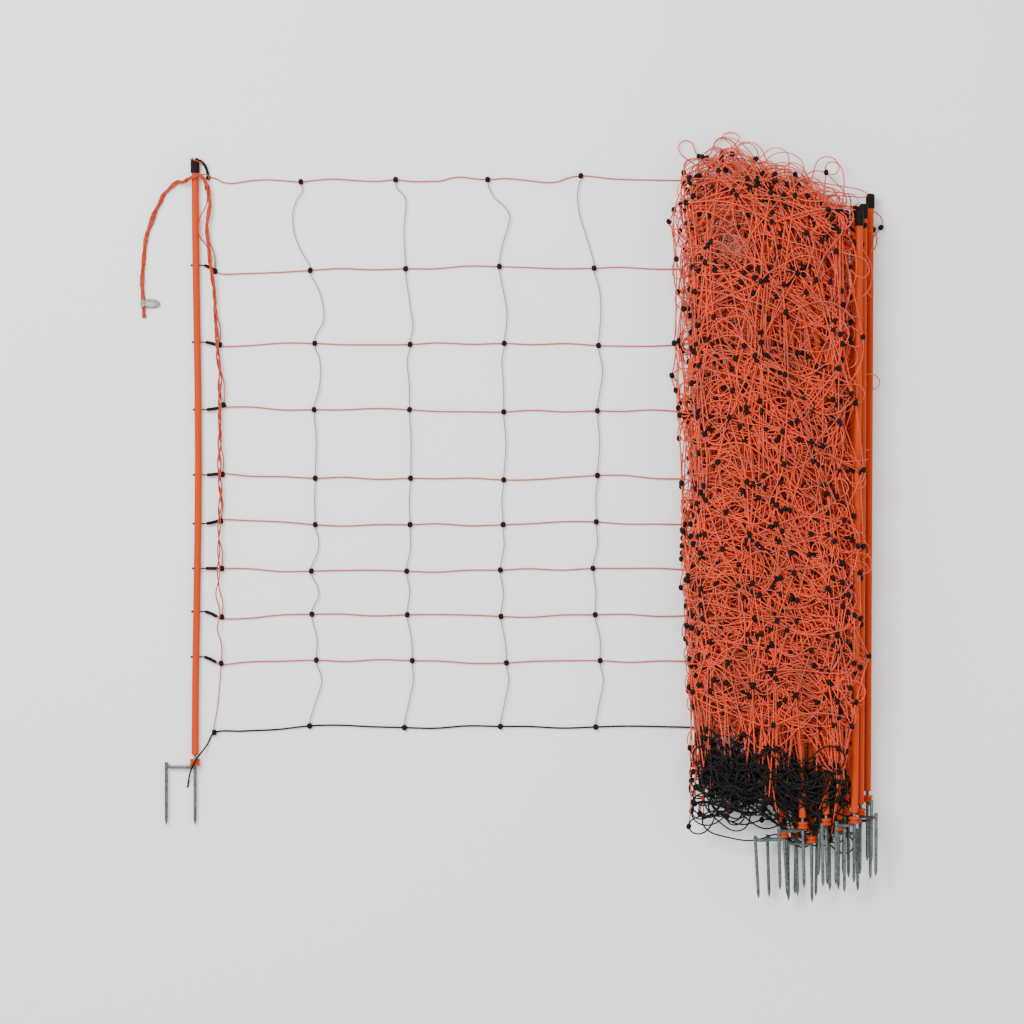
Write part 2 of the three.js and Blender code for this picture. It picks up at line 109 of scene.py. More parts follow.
class Finish:
    """A node-based material, made one node at a time."""

    def __init__(self, name: str) -> None:
        """Start the material with a Principled shader.

        Args:
            name: The material's name.
        """
        self.material = bpy.data.materials.new(name)
        self.material.use_nodes = True
        self.nodes = self.material.node_tree.nodes
        self.nodes.clear()
        self.shader = self.nodes.new("ShaderNodeBsdfPrincipled")
        output = self.nodes.new("ShaderNodeOutputMaterial")
        self.material.node_tree.links.new(self.shader.outputs[0], output.inputs[0])

    def feed(self, slot: Any, value: Any) -> None:
        """Set a socket to a number or colour, or link it.

        Args:
            slot: The input socket.
            value: A number, a colour or a Socket.
        """
        if isinstance(value, Socket):
            self.material.node_tree.links.new(value.link, slot)
        elif isinstance(value, (tuple, list)):
            slot.default_value = (*value, 1.0) if len(slot.default_value) == 4 else value
        else:
            slot.default_value = value

    def node(
        self, kind: str, settings: dict[str, Any], inputs: dict[Any, Any], out: Any = 0
    ) -> Socket:
        """Add one node.

        Args:
            kind: The node's type.
            settings: What is set on the node first.
            inputs: Values or links by socket name or number.
            out: The output that is wanted.

        Returns:
            That output.
        """
        node = self.nodes.new(kind)
        for name, value in settings.items():
            setattr(node, name, value)
        for name, value in inputs.items():
            self.feed(node.inputs[name], value)
        return Socket(self, node.outputs[out])

    def maths(self, operation: str, a: Any, b: Any = 0.0) -> Socket:
        """Add a Math node and return its value."""
        return self.node("ShaderNodeMath", {"operation": operation}, {0: a, 1: b})

    def place(self) -> Socket:
        """Return the Object coordinates."""
        return self.node("ShaderNodeTexCoord", {}, {}, "Object")

    def lengthways(self, stretch: tuple[float, float, float]) -> Socket:
        """Return the Object coordinates, stretched along each axis."""
        return self.node("ShaderNodeMapping", {}, {"Vector": self.place(), "Scale": stretch})

    def noise(self, scale: float, detail: float = 3.0, where: Socket | None = None) -> Socket:
        """Return a noise value.

        Args:
            scale: Patches per metre.
            detail: Octaves.
            where: The coordinates, or None for Object coordinates.

        Returns:
            The noise, around 0.5.
        """
        vector = where or self.place()
        return self.node("ShaderNodeTexNoise", {}, {"Vector": vector, "Scale": scale, "Detail": detail})

    def blend(self, factor: Any, a: Any, b: Any) -> Socket:
        """Return a colour between a and b."""
        return self.node("ShaderNodeMix", {"data_type": "RGBA"}, {0: factor, 6: a, 7: b}, 2)

    def spread(self, factor: Socket, low: float, high: float) -> Socket:
        """Return the value 0 to 1 brought to low to high."""
        inputs = {0: factor, 1: 0.3, 2: 0.7, 3: low, 4: high}
        return self.node("ShaderNodeMapRange", {}, inputs)

    def bump(self, height: Socket, depth: float) -> None:
        """Feed the shader's normal from a height.

        Args:
            height: A value from 0 to 1.
            depth: Its depth in metres.
        """
        inputs = {"Height": height, "Distance": depth, "Strength": 1.0}
        self.feed(self.shader.inputs["Normal"], self.node("ShaderNodeBump", {}, inputs))

    def set(self, **values: Any) -> None:
        """Set the shader's sockets by name, with _ for a space."""
        for name, value in values.items():
            self.feed(self.shader.inputs[name.replace("_", " ")], value)


@dataclass(frozen=True)
class PolywireFinish:
    """Twisted filaments with thin wires laid in, in two filament colours."""

    name: str
    main: tuple[float, float, float]
    other: tuple[float, float, float]
    wire: tuple[float, float, float]
    wire_share: float = 0.20
    pitch: float = 0.026
    filaments: int = 3
    gloss: float = 0.13

    def make(self) -> bpy.types.Material:
        """Build the finish and return its material."""
        finish = Finish(self.name)
        uv = finish.node("ShaderNodeUVMap", {"uv_map": "Twist"}, {})
        around = finish.node("ShaderNodeSeparateXYZ", {}, {0: uv}, 0)
        length = finish.node("ShaderNodeSeparateXYZ", {}, {0: uv}, 1)
        turn = around + length * (1.0 / self.pitch)
        strand = finish.maths("FRACT", turn)
        is_wire = finish.maths("LESS_THAN", strand, self.wire_share)
        tone = finish.noise(20.0, 2.0)
        plastic = finish.blend(finish.spread(tone, 0.0, 1.0), self.main, self.other)
        worn = finish.noise(160.0, 2.0)
        plastic = finish.blend(finish.spread(worn, 0.0, 0.25), plastic, self.wire)
        colour = finish.blend(is_wire * 0.6, plastic, self.wire)
        ridge = finish.maths("SINE", turn * (2 * math.pi * self.filaments)) * 0.5 + 0.5
        finish.set(Base_Color=colour, Roughness=finish.spread(worn, 0.45, 0.65), Metallic=is_wire * 0.3,
                   Specular_IOR_Level=self.gloss)
        finish.bump(ridge, 0.0004)
        return finish.material


@dataclass(frozen=True)
class PlasticFinish:
    """Moulded or drawn plastic with faint flow marks, dust and rubbed patches."""

    name: str
    main: tuple[float, float, float]
    shade: tuple[float, float, float]
    dust: tuple[float, float, float]
    dust_share: float = 0.2
    rough: float = 0.42
    stretch: tuple[float, float, float] = (1.0, 1.0, 1.0)
    grain: float = 400.0
    gloss: float = 0.25

    def make(self) -> bpy.types.Material:
        """Build the finish and return its material."""
        finish = Finish(self.name)
        drawn = finish.lengthways(self.stretch)
        streaks = finish.noise(self.grain, 4.0, drawn)
        patches = finish.noise(14.0, 3.0)
        colour = finish.blend(finish.spread(streaks, 0.0, 1.0), self.main, self.shade)
        speck = finish.noise(900.0, 2.0)
        dusty = finish.spread(speck, 0.0, 1.0) * finish.spread(patches, 0.2, 1.0)
        colour = finish.blend(dusty * self.dust_share, colour, self.dust)
        finish.set(
            Base_Color=colour,
            Roughness=finish.spread(patches, self.rough, self.rough + 0.2),
            Specular_IOR_Level=self.gloss,
        )
        finish.bump(streaks, 0.00012)
        return finish.material


@dataclass(frozen=True)
class GalvanisedFinish:
    """Zinc-coated steel with spangle and a dull bloom."""

    name: str
    bright: tuple[float, float, float] = (0.155, 0.18, 0.172)
    dull: tuple[float, float, float] = (0.058, 0.074, 0.070)
    spangle: float = 420.0

    def make(self) -> bpy.types.Material:
        """Build the finish and return its material."""
        finish = Finish(self.name)
        inputs = {"Vector": finish.place(), "Scale": self.spangle}
        cells = finish.node("ShaderNodeTexVoronoi", {}, inputs, "Color")
        flake = finish.node("ShaderNodeSeparateXYZ", {}, {0: cells}, 0)
        bloom = finish.noise(60.0, 4.0)
        mixed = flake * 0.45 + bloom * 0.55
        finish.set(
            Base_Color=finish.blend(finish.spread(mixed, 0.0, 1.0), self.dull, self.bright),
            Roughness=finish.spread(bloom, 0.62, 0.38),
            Metallic=finish.spread(bloom, 0.7, 0.95),
        )
        finish.bump(finish.noise(700.0, 3.0), 0.00008)
        return finish.material


@dataclass(frozen=True)
class FloorFinish:
    """A plain pale matt floor."""

    name: str = "pale_floor"

    def make(self) -> bpy.types.Material:
        """Build the finish and return its material."""
        finish = Finish(self.name)
        finish.set(Base_Color=(0.94, 0.94, 0.94), Roughness=0.9)
        return finish.material


class Slot(Enum):
    """The record's material slots."""

    LIVE = "live_strand"
    GROUND = "ground_strand"
    POST = "post_plastic"
    BLACK = "black_plastic"
    STEEL = "galvanised_steel"
    CLIP = "clip_metal"


class Finishes:
    """The materials of all pieces, made once."""

    def __init__(self) -> None:
        """Make each material."""
        steel = (0.34, 0.20, 0.17)
        orange, salmon = (0.98, 0.056, 0.0), (0.52, 0.050, 0.014)
        self.live = PolywireFinish("live_polywire", orange, salmon, steel).make()
        faded = ((0.60, 0.070, 0.022), (0.50, 0.10, 0.060))
        self.panel = PolywireFinish("spread_polywire", *faded, steel, 0.30).make()
        pale = ((0.56, 0.16, 0.11), (0.46, 0.20, 0.16), (0.42, 0.34, 0.31))
        self.upright = PolywireFinish("upright_polywire", *pale, 0.36).make()
        lead = ((0.52, 0.036, 0.002), (0.42, 0.034, 0.008), (0.34, 0.12, 0.09))
        self.lead = PolywireFinish("lead_polywire", *lead, 0.18, 0.034).make()
        ground = ((0.004, 0.004, 0.004), (0.009, 0.009, 0.009), (0.04, 0.04, 0.04))
        self.ground = PolywireFinish("ground_twine", *ground, wire_share=0.15, gloss=0.05).make()
        along_y = (1.0, 0.02, 1.0)
        post = ((0.53, 0.042, 0.0), (0.45, 0.031, 0.0), (0.52, 0.12, 0.04))
        self.post = PlasticFinish("orange_post", *post, 0.22, 0.42, along_y, 500.0, 0.12).make()
        black = ((0.004, 0.003, 0.003), (0.009, 0.007, 0.006), (0.04, 0.028, 0.024))
        self.black = PlasticFinish("black_moulding", *black, 0.25, 0.50, gloss=0.07).make()
        self.steel = GalvanisedFinish("galvanised_rod").make()
        clip = ((0.36, 0.36, 0.33), (0.17, 0.17, 0.155))
        self.clip = GalvanisedFinish("pressed_clip", *clip, 900.0).make()
        self.floor = FloorFinish().make()


# Strands.


def sizes(vectors: np.ndarray) -> np.ndarray:
    """Return the vectors' lengths, with the last axis kept."""
    return np.linalg.norm(vectors, axis=-1, keepdims=True)


def unit(vectors: np.ndarray) -> np.ndarray:
    """Return the vectors at length one."""
    return vectors / np.maximum(sizes(vectors), 1e-9)


def run_along(line: np.ndarray) -> np.ndarray:
    """Return how far along a line each of its stations lies."""
    return np.concatenate([[0], np.cumsum(np.linalg.norm(np.diff(line, axis=0), axis=1))])


def add_object(name: str, data: Any) -> bpy.types.Object:
    """Put new data into the scene.

    Args:
        name: The object's name.
        data: Its mesh, light or camera.

    Returns:
        The new object.
    """
    made = bpy.data.objects.new(name, data)
    bpy.context.scene.collection.objects.link(made)
    return made


def ring_frames(lines: np.ndarray) -> tuple[np.ndarray, np.ndarray]:
    """Carry two side directions along each line without twist.

    Args:
        lines: Points as (line, station, 3).

    Returns:
        The two side directions at each station.
    """
    way = np.empty_like(lines)
    way[:, 1:-1] = lines[:, 2:] - lines[:, :-2]
    way[:, 0] = lines[:, 1] - lines[:, 0]
    way[:, -1] = lines[:, -1] - lines[:, -2]
    way = unit(way)
    side = np.empty_like(lines)
    start = np.where(np.abs(way[:, 0, 2:3]) > 0.9, [[1.0, 0.0, 0.0]], [[0.0, 0.0, 1.0]])
    last = unit(np.cross(way[:, 0], start))
    for i in range(lines.shape[1]):
        last = unit(last - way[:, i] * np.sum(last * way[:, i], axis=-1, keepdims=True))
        side[:, i] = last
    return side, np.cross(way, side)


def smooth_line(points: Points, step: float) -> np.ndarray:
    """Run an even smooth line through points.

    Args:
        points: The points, in metres.
        step: The wanted distance between stations.

    Returns:
        The stations as (n, 3).
    """
    p = np.asarray(points, dtype=float)
    padded = np.vstack([2 * p[0] - p[1], p, 2 * p[-1] - p[-2]])
    knots = np.concatenate([[0], np.cumsum(np.sqrt(np.linalg.norm(np.diff(padded, axis=0), axis=1)))])
    dense = []
    for i in range(1, len(p)):
        t0, t1, t2, t3 = knots[i - 1:i + 3]
        t = np.linspace(t1, t2, 24, endpoint=False)[:, None]
        p0, p1, p2, p3 = padded[i - 1:i + 3]
        a1 = ((t1 - t) * p0 + (t - t0) * p1) / (t1 - t0)
        a2 = ((t2 - t) * p1 + (t - t1) * p2) / (t2 - t1)
        a3 = ((t3 - t) * p2 + (t - t2) * p3) / (t3 - t2)
        b1 = ((t2 - t) * a1 + (t - t0) * a2) / (t2 - t0)
        b2 = ((t3 - t) * a2 + (t - t1) * a3) / (t3 - t1)
        dense.append(((t2 - t) * b1 + (t - t1) * b2) / (t2 - t1))
    line = np.vstack([*dense, p[-1:]])
    run = run_along(line)
    even = np.linspace(0, run[-1], max(3, round(run[-1] / step) + 1))
    return np.stack([np.interp(even, run, line[:, k]) for k in range(3)], axis=1)


def laid(points: Points, step: float = 0.006) -> np.ndarray:
    """Run a smooth line through points of the net's plan.

    Args:
        points: The points, in millimetres.
        step: The wanted distance between stations, in metres.

    Returns:
        The stations as (n, 3), in metres.
    """
    return smooth_line([net_place(*p) for p in points], step)


@dataclass
class StrandMesh:
    """Gathers many strands as one mesh, with the twist map that their finish reads."""

    radius: float
    sides: int = 8
    verts: list[np.ndarray] = field(default_factory=list)
    faces: list[np.ndarray] = field(default_factory=list)
    ends: list[list[int]] = field(default_factory=list)
    uvs: list[np.ndarray] = field(default_factory=list)
    count: int = 0

    def add(self, lines: np.ndarray, radius: float | None = None) -> None:
        """Add tubes along lines that have the same number of stations.

        Args:
            lines: Points as (line, station, 3), or (station, 3) for one.
            radius: The tube's radius, or None for the mesh's own.
        """
        lines = np.asarray(lines, dtype=float)
        lines = lines[None] if lines.ndim == 2 else lines
        m, n, _ = lines.shape
        side, other = ring_frames(lines)
        angle = 2 * math.pi * np.arange(self.sides) / self.sides
        ring = side[:, :, None] * np.cos(angle)[:, None] + other[:, :, None] * np.sin(angle)[:, None]
        rings = lines[:, :, None] + ring * (radius or self.radius)
        index = self.count + np.arange(m * n * self.sides).reshape(m, n, self.sides)
        nxt = np.roll(index, -1, axis=2)
        quads = np.stack([index[:, :-1], nxt[:, :-1], nxt[:, 1:], index[:, 1:]], axis=-1)
        step = np.linalg.norm(np.diff(lines, axis=1), axis=-1)
        run = np.concatenate([np.zeros((m, 1)), np.cumsum(step, axis=1)], axis=1)
        u = np.arange(self.sides + 1) / self.sides
        shape = (m, n - 1, self.sides)
        low, high = run[:, :-1, None], run[:, 1:, None]
        corner_u = [u[:-1], u[1:], u[1:], u[:-1]]
        corner_v = [low, low, high, high]
        pairs = [np.stack([np.broadcast_to(a, shape), np.broadcast_to(b, shape)], -1)
                 for a, b in zip(corner_u, corner_v)]
        self.verts.append(rings.reshape(-1, 3))
        self.faces.append(quads.reshape(-1, 4))
        self.uvs.append(np.stack(pairs, axis=-2).reshape(-1, 2))
        self.ends += index[:, 0, ::-1].tolist() + index[:, -1].tolist()
        self.count += m * n * self.sides

    def piece(self, name: str, material: bpy.types.Material, slot: Slot) -> bpy.types.Object:
        """Turn what was gathered into one piece that rides on the root.

        Args:
            name: The piece's name.
            material: Its finish.
            slot: The record's slot.

        Returns:
            The new object.
        """
        mesh = bpy.data.meshes.new(name)
        quads = np.vstack(self.faces)
        mesh.from_pydata(np.vstack(self.verts).tolist(), [], quads.tolist() + self.ends)
        uv = mesh.uv_layers.new(name="Twist")
        flat = np.zeros((len(mesh.loops), 2), dtype=np.float32)
        flat[:len(quads) * 4] = np.vstack(self.uvs)
        uv.data.foreach_set("uv", flat.ravel())
        mesh.shade_smooth()
        return finished(add_object(name, mesh), material, slot)


def finished(piece: bpy.types.Object, material: bpy.types.Material, slot: Slot) -> bpy.types.Object:
    """Dress a piece and let it ride on the root.

    Args:
        piece: The new object.
        material: Its finish.
        slot: The record's slot; not used.

    Returns:
        The same object.
    """
    piece.data.materials.clear()
    piece.data.materials.append(material)
    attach(piece, "root")
    log.info("%s: %d faces", piece.name, len(piece.data.polygons))
    return piece


# Modelling by hand.


class Bench:
    """The modelling steps that the moulded and bent pieces share."""

    @staticmethod
    def clear() -> None:
        """Leave edit mode and deselect everything."""
        if bpy.context.object and bpy.context.object.mode == "EDIT":
            bpy.ops.object.mode_set(mode="OBJECT")
        bpy.ops.object.select_all(action="DESELECT")

    @staticmethod
    def disc(radius: float, sides: int, at: tuple[float, float, float]) -> bpy.types.Object:
        """Add a filled circle and go into edit mode with it selected.

        Args:
            radius: Its radius.
            sides: Its corners.
            at: Its centre.

        Returns:
            The new object.
        """
        Bench.clear()
        bpy.ops.mesh.primitive_circle_add(vertices=sides, radius=radius, fill_type="NGON", location=at)
        piece = bpy.context.object
        bpy.ops.object.transform_apply(location=True)
        bpy.ops.object.mode_set(mode="EDIT")
        bpy.ops.mesh.select_mode(type="FACE")
        bpy.ops.mesh.select_all(action="SELECT")
        return piece

    @staticmethod
    def push(x: float, y: float, z: float) -> None:
        """Extrude what is selected by a step."""
        bpy.ops.mesh.extrude_region_move(TRANSFORM_OT_translate={"value": (x, y, z)})

    @staticmethod
    def widen(share: tuple[float, float, float], centre: tuple[float, float, float]) -> None:
        """Scale what is selected about a centre."""
        bpy.ops.transform.resize(value=share, center_override=centre)

    @staticmethod
    def done(name: str, smooth: float = 40.0) -> bpy.types.Object:
        """Face the shape outwards, smooth it and leave edit mode.

        Args:
            name: The piece's name.
            smooth: Edges sharper than this many degrees stay sharp.

        Returns:
            The object.
        """
        bpy.ops.mesh.select_all(action="SELECT")
        bpy.ops.mesh.normals_make_consistent(inside=False)
        bpy.ops.object.mode_set(mode="OBJECT")
        piece = bpy.context.object
        piece.name = piece.data.name = name
        bpy.ops.object.shade_smooth_by_angle(angle=math.radians(smooth))
        return piece

    @staticmethod
    def turned(name: str, profile: Points, sides: int, smooth: float = 40.0) -> bpy.types.Object:
        """Make a turned piece along Z from (radius, height) steps.

        Args:
            name: The piece's name.
            profile: Radius and height of each ring, in metres.
            sides: Corners of each ring.
            smooth: Edges sharper than this many degrees stay sharp.

        Returns:
            The object.
        """
        radius, height = profile[0]
        Bench.disc(radius, sides, (0.0, 0.0, height))
        for next_radius, next_height in profile[1:]:
            Bench.push(0.0, 0.0, next_height - height)
            share = next_radius / radius
            Bench.widen((share, share, 1.0), (0.0, 0.0, next_height))
            radius, height = next_radius, next_height
        return Bench.done(name, smooth)

    @staticmethod
    def joined(name: str, pieces: list[bpy.types.Object]) -> bpy.types.Object:
        """Join pieces into one object.

        Args:
            name: The new name.
            pieces: The objects; the first one is kept.

        Returns:
            The joined object.
        """
        Bench.clear()
        for piece in pieces:
            piece.select_set(True)
        bpy.context.view_layer.objects.active = pieces[0]
        bpy.ops.object.join()
        pieces[0].name = pieces[0].data.name = name
        return pieces[0]

    @staticmethod
    def placed(pattern: bpy.types.Object, name: str, matrix: Matrix) -> bpy.types.Object:
        """Copy a pattern to its place, with the place in the copy's mesh.

        Args:
            pattern: The modelled pattern.
            name: The copy's name.
            matrix: Where it goes.

        Returns:
            The copy.
        """
        copy = add_object(name, pattern.data.copy())
        copy.data.name = name
        copy.data.transform(matrix)
        return copy

    @staticmethod
    def stamped(
        name: str, pattern: bpy.types.Object, places: np.ndarray, turns: np.ndarray
    ) -> bpy.types.Object:
        """Repeat a pattern many times in one mesh.

        Args:
            name: The new piece's name.
            pattern: The modelled pattern.
            places: Where each goes, as (n, 3).
            turns: Each one's turn, as (n, 3, 3).

        Returns:
            The new piece.
        """
        base = np.array([v.co[:] for v in pattern.data.vertices])
        faces = [list(p.vertices) for p in pattern.data.polygons]
        verts = np.einsum("nij,vj->nvi", turns, base) + places[:, None]
        every = [[i + k * len(base) for i in face] for k in range(len(places)) for face in faces]
        mesh = bpy.data.meshes.new(name)
        mesh.from_pydata(verts.reshape(-1, 3).tolist(), [], every)
        mesh.shade_smooth()
        return add_object(name, mesh)


def turned_frames(ways: np.ndarray, spins: np.ndarray) -> np.ndarray:
    """Return turns that lay a pattern's Z along each way, spun about it.

    Args:
        ways: Directions as (n, 3).
        spins: Spin of each, in radians.

    Returns:
        Rotation matrices as (n, 3, 3).
    """
    z = unit(ways)
    helper = np.where(np.abs(z[:, 2:3]) > 0.9, [[1.0, 0.0, 0.0]], [[0.0, 0.0, 1.0]])
    x = unit(np.cross(helper, z))
    y = np.cross(z, x)
    c, s = np.cos(spins)[:, None], np.sin(spins)[:, None]
    return np.stack([x * c + y * s, y * c - x * s, z], axis=-1)


@dataclass
class KnotPattern:
    """The black moulded knot that holds two strands where they cross."""

    width: float = 9.6 * MM
    height: float = 10.6 * MM

    def fine(self) -> bpy.types.Object:
        """Model the knot of the spread bay, with its waist and two lips."""
        r, h = self.width / 2, self.height / 2
        lower = [(0.42, -1.0), (0.62, -0.94), (0.9, -0.6), (1.0, -0.34), (0.9, -0.12)]
        steps = lower + [(wide, -high) for wide, high in lower[::-1]]
        profile = [(r * wide, h * high) for wide, high in steps]
        return Bench.turned("knot_pattern", profile, 10, 50.0)

    def coarse(self) -> bpy.types.Object:
        """Model the knot that the heap repeats."""
        r, h = self.width / 2, self.height / 2
        profile = [(r * 0.5, -h), (r, -h * 0.42), (r, h * 0.42), (r * 0.5, h)]
        return Bench.turned("small_knot_pattern", profile, 6, 60.0)


# The studio.


@dataclass
class Studio:
    """The camera over the net, the floor and the soft lights."""

    distance: float = 9.0
    view_width: float = 1.8534
    centre: tuple[float, float] = (-0.0149, 0.0191)
    sensor: float = 36.0

    def camera(self) -> None:
        """Set the camera straight above the net."""
        data = bpy.data.cameras.new("camera")
        data.sensor_width = self.sensor
        data.lens = self.sensor * self.distance / self.view_width
        data.clip_end = 60.0
        camera = add_object("camera", data)
        camera.location = (*self.centre, self.distance)
        bpy.context.scene.camera = camera

    def lights(self) -> None:
        """Add two broad soft lights and a pale surround."""
        spots = [((-1.8, 1.6, 4.0), 250.0, 2.2), ((2.4, -1.2, 4.6), 60.0, 3.8)]
        for i, (place, power, size) in enumerate(spots):
            data = bpy.data.lights.new(f"soft_light_{i + 1}", "AREA")
            data.energy = power
            data.size = size
            light = add_object(data.name, data)
            light.location = place
            aim = Vector((*self.centre, 0.0)) - Vector(place)
            light.rotation_euler = aim.to_track_quat("-Z", "Y").to_euler()
        world = bpy.data.worlds.new("surround")
        world.use_nodes = True
        back = world.node_tree.nodes["Background"]
        back.inputs["Color"].default_value = (1.0, 1.0, 1.0, 1.0)
        back.inputs["Strength"].default_value = 1.0
        bpy.context.scene.world = world

    def floor(self, material: bpy.types.Material) -> None:
        """Lay the floor.

        Args:
            material: Its finish.
        """
        Bench.clear()
        bpy.ops.mesh.primitive_grid_add(
            x_subdivisions=4, y_subdivisions=4, size=14.0, location=(0, 0, -0.0005)
        )
        floor = bpy.context.object
        floor.name = "studio_floor"
        floor.data.materials.append(material)


# The lead and its connector.


@dataclass
class Rope:
    """A twisted lead of several strands laid round one centre line."""

    strands: int
    orbit: float
    strand_radius: float
    pitch: float
    slack: float = 0.28
    sides: int = 6

    def lines(self, centres: np.ndarray) -> np.ndarray:
        """Return each strand's line round the centre line, as (strand, station, 3)."""
        side, other = (part[0] for part in ring_frames(centres[None]))
        run = run_along(centres)
        out = []
        for k in range(self.strands):
            slack = (1 + self.slack * np.sin(run / self.pitch * 2.3 + 1.7 * k))[:, None]
            wander = self.slack * np.sin(run * 40 + k)
            angle = (2 * math.pi * (run / self.pitch + k / self.strands) + wander)[:, None]
            out.append(centres + self.orbit * slack * (side * np.cos(angle) + other * np.sin(angle)))
        return np.array(out)


@dataclass
class LeadIn:
    """The free lead that feeds the net, and the clip on its end."""

    diameter: float = 7.4 * MM
    start: Points = ((-589.27, 599.88, 16.94), (-596.11, 596.74, 15.34))
    route: Points = (
        (-604, 598, 10.5), (-613, 593, 6.5), (-622, 584, 4.6), (-630.5, 575.5, 4), (-639, 558.5, 4),
        (-648, 542, 4), (-657, 517, 4), (-663, 496, 4), (-666, 471, 4), (-669, 439, 4),
        (-670, 415, 4.7), (-669, 392, 4.7), (-667.5, 370, 4.7), (-666, 352, 4.5),
    )
    clip_at: tuple[float, float] = (-654.0, 378.0)
    clip_size: tuple[float, float, float] = (33.0, 17.0, 9.4)
    clip_turn: float = -3.0

    def build(self, finishes: Finishes) -> None:
        """Lay the lead and press the clip.

        Args:
            finishes: The materials.
        """
        centres = laid((*self.start, *self.route), 0.0025)
        rope = Rope(7, 2.6 * MM, 1.25 * MM, 0.062)
        mesh = StrandMesh(rope.strand_radius, rope.sides)
        mesh.add(rope.lines(centres))
        mesh.add(centres, 1.2 * MM)
        slack = centres[(centres[:, 1] < 0.577) & (centres[:, 1] > 0.520)]
        run = np.gradient(slack, axis=0)
        aside = unit(np.column_stack([-run[:, 1], run[:, 0], np.zeros(len(run))]))
        bow = 5.4 * MM * np.sin(np.linspace(0, math.pi, len(slack)))
        mesh.add(slack + aside * bow[:, None], 0.75 * MM)
        lead = mesh.piece("pigtail_lead_strands", finishes.lead, Slot.LIVE)
        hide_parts("pigtail_lead")
        clip = self.clip(finishes)

    def clip(self, finishes: Finishes) -> bpy.types.Object:
        """Press the oval clip in two halves with a raised rim, and its round ferrule."""
        length, width, height = (v * MM for v in self.clip_size)
        Bench.disc(0.5, 40, (0.0, 0.0, 0.0))
        Bench.widen((length, width, 1.0), (0.0, 0.0, 0.0))
        edge = 1.2 * MM
        rises_and_insets = (
            (edge, -0.001 * edge), (height * 0.32, 0.0), (0.0006, 0.0007), (0.0, 0.0006),
            (height * 0.3, 0.0004), (0.0009, 0.0009), (0.0, 0.0011), (-0.0011, 0.0004),
            (0.0, 0.0010), (0.0012, 0.0008),
        )
        for rise, inward in rises_and_insets:
            Bench.push(0.0, 0.0, rise)
            inner = (length - 2 * inward, width - 2 * inward)
            Bench.widen((inner[0] / length, inner[1] / width, 1.0), (0.0, 0.0, 0.0))
            length, width = inner
        body = Bench.done("clip_body", 45.0)
        top = max(v.co.z for v in body.data.vertices)
        body.data.transform(Matrix.Scale(height / top, 4, Vector((0, 0, 1))))
        half = [(0.0042, -0.006), (0.0046, -0.0056), (0.0046, -0.002), (0.0050, -0.0016)]
        profile = half + [(radius, -along) for radius, along in half[::-1]]
        ferrule = Bench.turned("clip_ferrule", profile, 20)
        x, y, _ = net_place(*self.clip_at)
        turn = Matrix.Rotation(math.radians(self.clip_turn), 4, "Z")
        body.data.transform(Matrix.Translation((x, y, 0.0)) @ turn)
        lying = Matrix.Rotation(math.radians(88), 4, "X")
        ferrule.data.transform(Matrix.Translation(net_place(-668.2, 378.0, 4.9)) @ lying)
        clip = Bench.joined("oval_connector_clip", [body, ferrule])
        finished(clip, finishes.clip, Slot.CLIP)
        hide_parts("connector_clip")
        return clip


# Posts.


